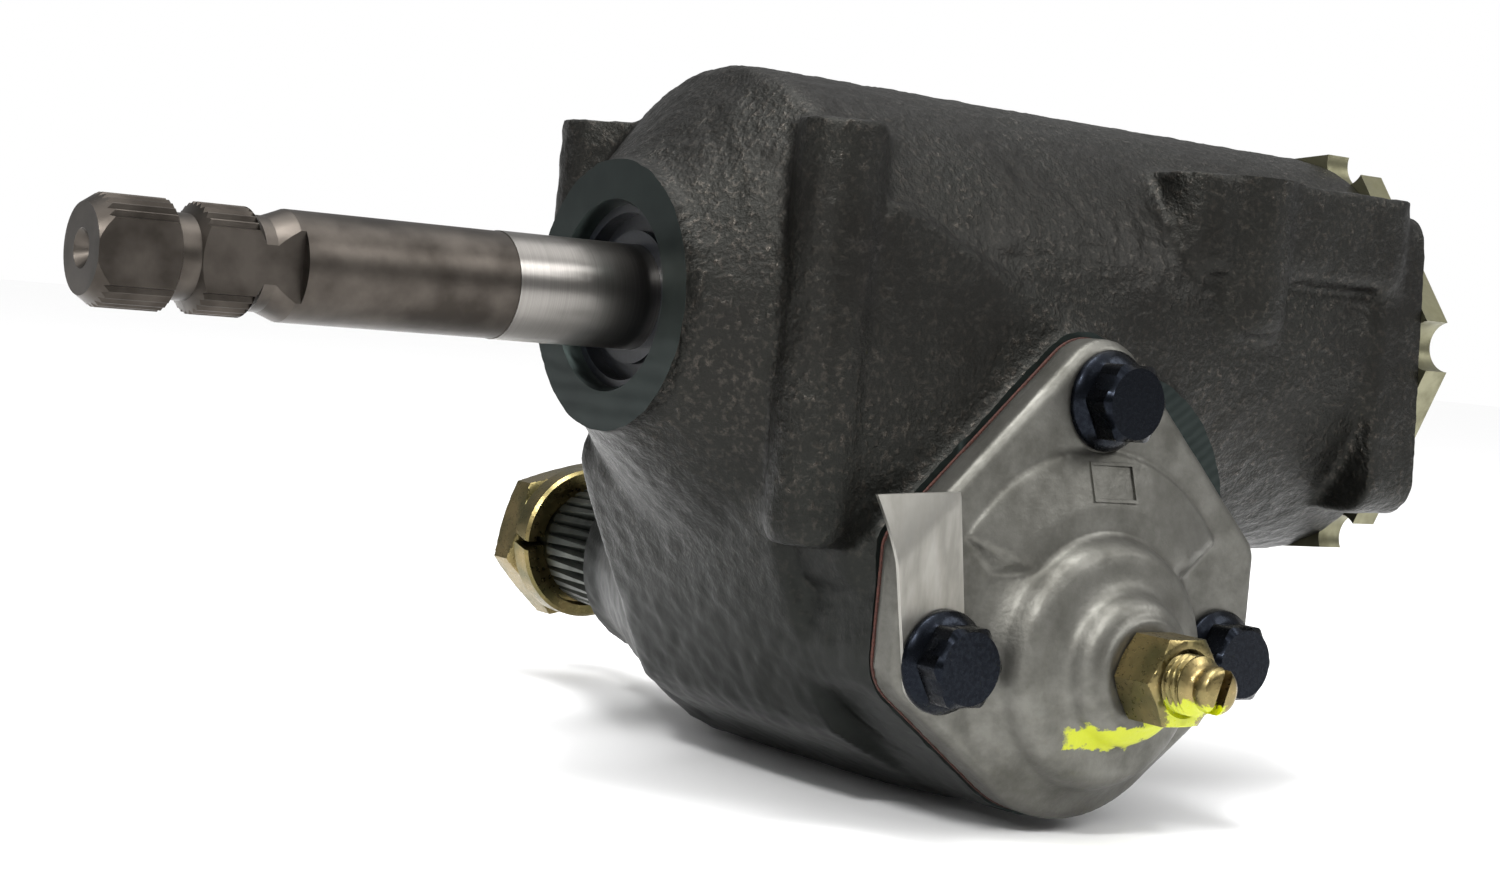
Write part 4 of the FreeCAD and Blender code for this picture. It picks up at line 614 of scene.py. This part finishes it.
# Hub of the cover: out and radius, from its foot to the seat of the lock nut
HUB = ((48.6, 29.6), (55.5, 29.3), (56.3, 28.2), (57.6, 26.4), (59.7, 24.4), (62.2, 23.5), (63.6, 22.7), (64.7, 21.4),
       (65.3, 19.6), (65.6, 17.5), (66.2, 15.8), (67.2, 14.6), (69.3, 13.9), (70.6, 13.2), (71.5, 12.0), (71.9, 10.6),
       (72.9, 10.2))


def fan():
    """Raised fan that runs from the hub up to the top bolt, with ends that slope to just under the plate's face."""
    rings = []
    root, foot_level, inner = COVER_BACK + 1, COVER_FACE - 0.6, 10.0
    for step in range(-40, 41):
        turn = step * 1.5
        ring = []
        for radius, level, crest, foot in FAN:
            fall = min(max((abs(turn) - crest) / (foot - crest), 0.0), 1.0)
            ring.append((radius, level + (foot_level - level) * fall))
        ring += [(inner, ring[-1][1]), (inner, root), (FAN[0][0], root)]
        angle = math.radians(90 - turn)
        rings.append([on_sector(radius * math.cos(angle), out, radius * math.sin(angle)) for radius, out in ring])
    return loft(rings)


def fan_level(up):
    """Height of the raised fan's face straight above the hub, between its rim and the hub's foot."""
    return 59.7 - (up - 29.3) / (39.1 - 29.3) * 3.2


def square_mark():
    """Low square outline cast on the fan, as four bars."""
    left, right, low, high, width, root, proud = -4.3, 6.9, 30.3, 37.6, 0.55, 54.0, 0.22
    bars = [(left, right, low, low + width), (left, right, high - width, high),
            (left, left + width, low + width / 2, high - width / 2),
            (right - width, right, low + width / 2, high - width / 2)]
    for x0, x1, up0, up1 in bars:
        corners = ((x0, up0), (x1, up0), (x1, up1), (x0, up1))
        yield loft([[on_sector(x, root, up) for x, up in corners],
                    [on_sector(x, fan_level(up) + proud, up) for x, up in corners]])


class GEARBOX_OT_cover(bpy.types.Operator):
    """Cast the side cover with its hub and raised fan, and drill it"""
    bl_idname = "gearbox.cover"
    bl_label = "Side cover"

    def execute(self, context):
        s = settings().cover
        chamfer, bush_depth = 1.6, 61.8
        plate = sector_prism(COVER_WHEELS, ((COVER_BACK, 0.0), (COVER_FACE - chamfer, 0.0), (COVER_FACE, -chamfer)))
        cover = remeshed("cast_side_cover", [plate, sector_lathe(HUB, 128), fan()], s.skin, s.fillet_passes)
        roughened(cover, 0.12 * MM, 6 * MM, 5)
        paint(cover, "die_cast_aluminium")
        for bar in square_mark():
            join_or_cut(cover, bar, operation="UNION")
        join_or_cut(cover, sector_lathe(((COVER_BACK - 1, BUSH_RADIUS), (bush_depth, BUSH_RADIUS)), 96))
        join_or_cut(cover, sector_lathe(((60.0, SCREW_RADIUS + THREAD_GAP), (74.0, SCREW_RADIUS + THREAD_GAP)), 48))
        for centre in COVER_BOLTS:
            join_or_cut(cover, sector_lathe(((COVER_BACK - 2, BOLT_HOLE), (COVER_FACE + 1, BOLT_HOLE)), 32, centre))
            join_or_cut(cover, sector_lathe(((COVER_FACE, BOLT_SEAT), (COVER_FACE + 8, BOLT_SEAT)), 64, centre))
        shade_by_angle(cover, 38)
        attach(cover, "housing")
        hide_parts("side_cover")
        return {"FINISHED"}


def hexagon_reach(flats, turned=0.0, limit=1e9):
    """Distance to a hexagon's outline, cut off at a limit, as a function of the angle; its flats face up and down."""
    def reach(turn):
        from_flat = (turn - turned - math.pi / 6) % (math.pi / 3)
        from_flat = min(from_flat, math.pi / 3 - from_flat)
        return min(flats / 2 / math.cos(from_flat), limit)
    return reach


def nut(name, flats, bore, near, far, turned=0.0):
    """Hexagon nut between two places on the sector shaft's axis, chamfered on both faces."""
    corner_height, face_share, corner_share, chamfer = 0.046 * flats, 0.97, 0.185, 0.8
    way = 1 if far > near else -1
    rows = []
    for start, direction in ((near, way), (far, -way)):
        steps = [(start + direction * corner_height * share, flats / 2 * (face_share + corner_share * share))
                 for share in (0.0, 0.25, 0.5, 0.75, 1.0)]
        rows += steps if direction == way else steps[::-1]
    rings = [sector_ring(out, hexagon_reach(flats, turned, limit), 96) for out, limit in rows]
    rings += [sector_ring(far, bore + chamfer), sector_ring(far - way * chamfer, bore),
              sector_ring(near + way * chamfer, bore), sector_ring(near, bore + chamfer)]
    thing = new_object(name, *loft(rings, True))
    shade_by_angle(thing, 30)
    return thing


class GEARBOX_OT_fasteners(bpy.types.Operator):
    """Make the cover's flanged bolts, the lock nut, the arm nut and the lash screw with its thread"""
    bl_idname = "gearbox.fasteners"
    bl_label = "Fasteners"

    def bolts(self):
        """Three flanged bolts; the second one's flange stands on the tag."""
        forms = []
        head = hexagon_reach(14.29, 0.0, 8.05)
        rows = [(-16.0, BOLT_SHANK - 0.7), (-15.2, BOLT_SHANK), (0.0, BOLT_SHANK), (0.0, 9.3), (0.3, 9.6),
                (0.9, 9.6), (1.4, 9.35), (1.9, 8.7), (2.3, 8.3), (2.7, head), (7.45, head), (8.4, 6.7), (8.4, 3.0)]
        for index, centre in enumerate(COVER_BOLTS):
            seat = COVER_FACE + (TAG_THICKNESS if index == 1 else 0.0)
            forms.append(loft([sector_ring(seat + up, reach, 96, centre) for up, reach in rows]))
        thing = new_object("flanged_bolts", *merged(forms))
        shade_by_angle(thing, 32)
        paint(thing, "phosphated_steel")
        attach(thing, "housing")
        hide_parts("cover_bolts")

    def lash_screw(self):
        """Screw with its head in the sector shaft, a helical thread through the cover and a slotted tip."""
        s = settings().thread
        pitch, depth = s.pitch / MM, s.depth / MM
        low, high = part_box("lash_adjuster_screw")
        head_low, tip = -high.y / MM, -low.y / MM
        head_radius, head_thickness = 7.9, 3.2
        thread_start, thread_end, steps_per_turn = 62.5, 86.2, 10
        slot_turn, slot_half_length, slot_half_width, slot_depth = math.radians(72), 7, 1.1, 2.6

        def thread(out):
            """Distance to the thread's outline as a function of the angle, fading in and out at its ends."""
            fade = min(1.0, max(0.0, (out - thread_start) / pitch), (thread_end + 0.01 - out) / (0.5 * pitch))

            def reach(turn):
                wave = abs(2 * ((out / pitch - turn / (2 * math.pi)) % 1.0) - 1)
                return SCREW_RADIUS - depth * fade * min(1.0, max(0.0, 1.35 * wave - 0.15))
            return reach

        rows = [(head_low, 7.4), (head_low + 0.4, head_radius), (head_low + head_thickness, head_radius),
                (head_low + head_thickness, SCREW_RADIUS), (thread_start - 0.5, SCREW_RADIUS)]
        steps = int((thread_end - thread_start) / pitch * steps_per_turn)
        rows += [(out, thread(out)) for out in np.linspace(thread_start, thread_end, steps)]
        rows += [(thread_end + 0.5, 4.7), (thread_end + 1.1, 3.7), (87.9, 3.6), (88.2, 4.0), (88.8, 4.35),
                 (90.9, 4.35), (tip - 0.3, 3.9), (tip, 3.2)]
        screw = new_object("lash_screw", *loft([sector_ring(out, reach, 72) for out, reach in rows]))
        paint(screw, "yellow_zinc")
        along = (math.cos(slot_turn), math.sin(slot_turn))
        corners = [(slot_half_length * a * along[0] - slot_half_width * b * along[1],
                    slot_half_length * a * along[1] + slot_half_width * b * along[0])
                   for a, b in ((-1, -1), (1, -1), (1, 1), (-1, 1))]
        join_or_cut(screw, loft([[on_sector(x, out, up) for x, up in corners] for out in (tip - slot_depth, tip + 2)]))
        shade_by_angle(screw, 50)
        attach(screw, "housing")
        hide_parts("lash_adjuster_screw")

    def execute(self, context):
        self.bolts()
        self.lash_screw()
        # Flats, bore, the two faces and the turn of each nut
        for name, cad, body, sizes in (
                ("lock_nut", "lash_lock_nut", "housing", (15.875, SCREW_RADIUS + THREAD_GAP, 72.9, 82.9)),
                ("arm_nut", "pitman_nut", "sector", (33.34, 11.15, -124.9, -133.9, 0.27))):
            thing = nut(name, *sizes)
            paint(thing, "yellow_zinc")
            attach(thing, body)
            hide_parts(cad)
        return {"FINISHED"}


class GEARBOX_OT_tag(bpy.types.Operator):
    """Bend the bare tag strip under the left cover bolt down over the plate's slanting edge"""
    bl_idname = "gearbox.tag"
    bl_label = "Tag"

    def execute(self, context):
        curl = settings().cover.tag_curl / MM
        centre = COVER_BOLTS[1][0]
        drop, length, width, end_radius, lean, flare = 9.3, 40.2, 14.3, 9.4, 6.2, 1.2
        bend_reach, bend_power, shortening = 12, 1.3, 1.5
        steps, columns = 40, 12
        rows = []
        for step in range(steps + 1):
            share = step / steps
            up = -drop + length * share
            right = centre + 7.2 - lean * share
            left = right - width - flare * share
            if up < 0:
                reach = math.sqrt(end_radius ** 2 - up ** 2)
                left, right = max(left, centre - reach), min(right, centre + reach)
            across = [right + (left - right) * index / columns for index in range(columns + 1)]
            ring = []
            for level, line in ((0.0, across), (TAG_THICKNESS, across[::-1])):
                for x in line:
                    # Distance beyond the plate's slanting edge
                    beyond = max(0.0, -0.690 * x + 0.724 * up - 45.4)
                    bend = (beyond / bend_reach) ** bend_power
                    ring.append(on_sector(x, COVER_FACE + level - curl * bend, up - shortening * bend))
            rows.append(ring)
        tag = new_object("tag_strip", *loft(rows))
        paint(tag, "rolled_aluminium")
        join_or_cut(tag, sector_lathe(((COVER_FACE - 2, BOLT_HOLE), (COVER_FACE + 3, BOLT_HOLE)), 32, COVER_BOLTS[1]))
        shade_by_angle(tag, 40)
        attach(tag, "housing")
        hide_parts("ident_tag")
        return {"FINISHED"}


# Nodes of faceted balls and the bodies that they ride on
BALL_NODES = {"recirculating_balls": "nut", "upper_bearing_balls": "upper_bearing",
              "lower_bearing_balls": "lower_bearing"}


class GEARBOX_OT_balls(bpy.types.Operator):
    """Put a smooth ball at each place where the part has one"""
    bl_idname = "gearbox.balls"
    bl_label = "Balls"

    def execute(self, context):
        for name, body in BALL_NODES.items():
            source = bmesh.new()
            source.from_mesh(NODES[name].data)
            bmesh.ops.remove_doubles(source, verts=source.verts, dist=1e-6)
            found = set()
            balls = bmesh.new()
            # Each island of joined points is one ball; the islands are taken in the mesh's own order on every run
            for start in source.verts:
                if start in found:
                    continue
                found.add(start)
                island = [start]
                for vert in island:
                    for edge in vert.link_edges:
                        other = edge.other_vert(vert)
                        if other not in found:
                            found.add(other)
                            island.append(other)
                spots = np.array([vert.co for vert in island])
                low, high = spots.min(0), spots.max(0)
                bmesh.ops.create_icosphere(balls, subdivisions=3, radius=float((high - low).max() / 2),
                                           matrix=Matrix.Translation(Vector((low + high) / 2)))
            source.free()
            mesh = bpy.data.meshes.new("smooth_" + name)
            balls.to_mesh(mesh)
            balls.free()
            mesh.shade_smooth()
            thing = bpy.data.objects.new("smooth_" + name, mesh)
            bpy.context.scene.collection.objects.link(thing)
            paint(thing, "ground_steel")
            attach(thing, body)
            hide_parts(name)
        return {"FINISHED"}


class GEARBOX_OT_lock_washer(bpy.types.Operator):
    """Make the split lock washer under the arm nut, hollow on the side of the casting"""
    bl_idname = "gearbox.lock_washer"
    bl_label = "Lock washer"

    def execute(self, context):
        profile = ((-118.9, 17.3), (-119.6, 18.0), (-124.2, 18.0), (-124.9, 17.3), (-124.9, 11.2), (-122.0, 11.2),
                   (-122.0, 14.6), (-118.9, 15.2))
        washer = new_object("split_washer", *sector_lathe(profile, 96, loop=True))
        paint(washer, "yellow_zinc")
        # Slanting gap: its outline, and how far it leans from one face to the other
        gap = [(-21.0, 1.1), (-10.0, 1.1), (-10.0, -1.1), (-21.0, -1.1)]
        join_or_cut(washer, loft([[on_sector(x, out, up + lean) for x, up in gap]
                                  for out, lean in ((-117.0, -1.5), (-127.0, 1.5))]))
        shade_by_angle(washer, 30)
        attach(washer, "sector")
        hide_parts("pitman_lock_washer")
        return {"FINISHED"}


# Nodes that keep their CAD shape, and their materials
PLAIN = {
    "cover_gasket": "gasket_fibre", "cover_bushing": "sintered_bronze", "lash_shim": "ground_steel",
    "sector_shaft": "oiled_steel", "sector_bushing": "sintered_bronze", "sector_seal": "moulded_rubber",
    "worm_shaft": "turned_steel", "input_seal": "moulded_rubber",
    "upper_bearing_cup": "ground_steel", "upper_bearing_cage": "stamped_steel", "lower_bearing_cup": "ground_steel",
    "lower_bearing_cage": "stamped_steel", "lower_bearing_retainer": "stamped_steel",
    "bearing_adjuster_plug": "worn_iron", "adjuster_lock_ring": "olive_zinc_plate", "ball_nut": "worn_iron",
    "ball_guides": "stamped_steel", "ball_guide_clamp": "stamped_steel", "guide_clamp_screws": "stamped_steel",
}


class GEARBOX_OT_finishes(bpy.types.Operator):
    """Give every piece that keeps its CAD shape its material"""
    bl_idname = "gearbox.finishes"
    bl_label = "Finishes"

    def execute(self, context):
        for name, finish in PLAIN.items():
            paint(NODES[name], finish)
        return {"FINISHED"}


# Camera in the row frame, fitted to the photo: its place in mm, and the picture's right and down directions
CAMERA_PLACE = (-335.0, -406.2, -35.2)
CAMERA_RIGHT = (0.8056, -0.5858, 0.0885)
CAMERA_DOWN = (0.0412, -0.0937, -0.9948)
IMAGE = (1500, 884)
PRINCIPAL_POINT = (753.879, 441.575)
# Soft boxes: name, place and size in metres, and power in watts
LIGHTS = (("overhead_box", (-0.12, -0.15, 0.85), 0.36, 7.0), ("left_box", (-0.9, -0.05, 0.5), 0.4, 2.0),
          ("key_box", (-0.75, -0.48, 0.6), 0.14, 8.0), ("front_box", (0.7, -0.75, 0.7), 0.5, 7.0),
          ("fill_box", (0.0, -1.0, 0.8), 0.4, 1.5))
LIGHT_AIM = (0.0, 0.0, -0.06)
# The sky is a very soft sun; the room is white to the camera and throws less light on the part
SKY_POWER = 2.4
SKY_ANGLE = 75
ROOM_LIGHT = 0.35
ROOM_SEEN = 1.0
FLOOR_HALF = 6


class GEARBOX_OT_stage(bpy.types.Operator):
    """Set the floor, the soft lights and the camera"""
    bl_idname = "gearbox.stage"
    bl_label = "Stage"

    def execute(self, context):
        s = settings().stage
        level = CAD_BOX[0][2]
        corners = [(x * FLOOR_HALF, y * FLOOR_HALF, level) for x, y in ((-1, -1), (1, -1), (1, 1), (-1, 1))]
        floor = new_object("floor", corners, [(0, 1, 2, 3)])
        material, where = start_material("matt_paper")
        fibres = add(material, "ShaderNodeTexNoise", {"Vector": where, "Scale": 25.0}).outputs[0]
        tone = tuple(s.floor)
        colour = add(material, "ShaderNodeMix", {0: fibres, 6: tuple(part * 0.99 for part in tone) + (1.0,),
                                                 7: tone + (1.0,)}, data_type="RGBA")
        floor.data.materials.append(end_material(material, Base_Color=colour.outputs[2], Roughness=0.9))

        world = bpy.data.worlds.new("soft_room")
        world.use_nodes = True
        background = world.node_tree.nodes["Background"]
        background.inputs[0].default_value = (1.0, 1.0, 1.0, 1.0)
        seen = add(world, "ShaderNodeLightPath").outputs["Is Camera Ray"]
        strength = add(world, "ShaderNodeMapRange", {0: seen, 3: ROOM_LIGHT, 4: ROOM_SEEN})
        world.node_tree.links.new(strength.outputs[0], background.inputs[1])
        bpy.context.scene.world = world
        bpy.context.scene.view_settings.view_transform = "Standard"
        data = bpy.data.lights.new("sky", "SUN")
        data.energy = SKY_POWER
        data.angle = math.radians(SKY_ANGLE)
        bpy.context.scene.collection.objects.link(bpy.data.objects.new("sky", data))
        for name, spot, size, power in LIGHTS:
            data = bpy.data.lights.new(name, "AREA")
            data.shape = "SQUARE"
            data.size = size
            data.energy = power
            lamp = bpy.data.objects.new(name, data)
            bpy.context.scene.collection.objects.link(lamp)
            lamp.location = spot
            aim = Vector(LIGHT_AIM) - Vector(spot)
            lamp.rotation_euler = aim.to_track_quat("-Z", "Y").to_euler()

        data = bpy.data.cameras.new("photo_camera")
        data.sensor_width = 36.0
        data.lens = s.lens
        data.shift_x = (IMAGE[0] / 2 - PRINCIPAL_POINT[0]) / IMAGE[0]
        data.shift_y = (PRINCIPAL_POINT[1] - IMAGE[1] / 2) / IMAGE[0]
        data.clip_start = 0.01
        camera = bpy.data.objects.new("photo_camera", data)
        bpy.context.scene.collection.objects.link(camera)
        right = Vector(CAMERA_RIGHT).normalized()
        up = -Vector(CAMERA_DOWN)
        up = (up - right * up.dot(right)).normalized()
        turn = Matrix((right, up, right.cross(up))).transposed().to_4x4()
        camera.matrix_world = Matrix.Translation(Vector(CAMERA_PLACE) * MM) @ turn
        bpy.context.scene.camera = camera
        return {"FINISHED"}


class GEARBOX_PT_panel(bpy.types.Panel):
    """Buttons that build the gearbox piece by piece"""
    bl_label = "Steering gearbox"
    bl_idname = "GEARBOX_PT_panel"
    bl_space_type = "VIEW_3D"
    bl_region_type = "UI"
    bl_category = "Gearbox"

    def draw(self, context):
        layout = self.layout
        for group in ("casting", "cover", "thread", "stage"):
            box = layout.box()
            owner = getattr(settings(), group)
            for key in owner.bl_rna.properties.keys():
                if key not in {"rna_type", "name"}:
                    box.prop(owner, key)
        for step in STEPS:
            layout.operator(step.bl_idname)


STEPS = (GEARBOX_OT_finishes, GEARBOX_OT_casting, GEARBOX_OT_cover, GEARBOX_OT_fasteners, GEARBOX_OT_lock_washer,
         GEARBOX_OT_tag, GEARBOX_OT_balls, GEARBOX_OT_stage)
CLASSES = (CastingSettings, CoverSettings, ThreadSettings, StageSettings, GearboxSettings) + STEPS + (
    GEARBOX_PT_panel,)


def register():
    for item in CLASSES:
        bpy.utils.register_class(item)
    bpy.types.Scene.gearbox = PointerProperty(type=GearboxSettings)


def unregister():
    del bpy.types.Scene.gearbox
    for item in reversed(CLASSES):
        bpy.utils.unregister_class(item)


def main():
    register()
    for step in STEPS:
        group, action = step.bl_idname.split(".")
        getattr(getattr(bpy.ops, group), action)()


if __name__ == "__main__":
    main()
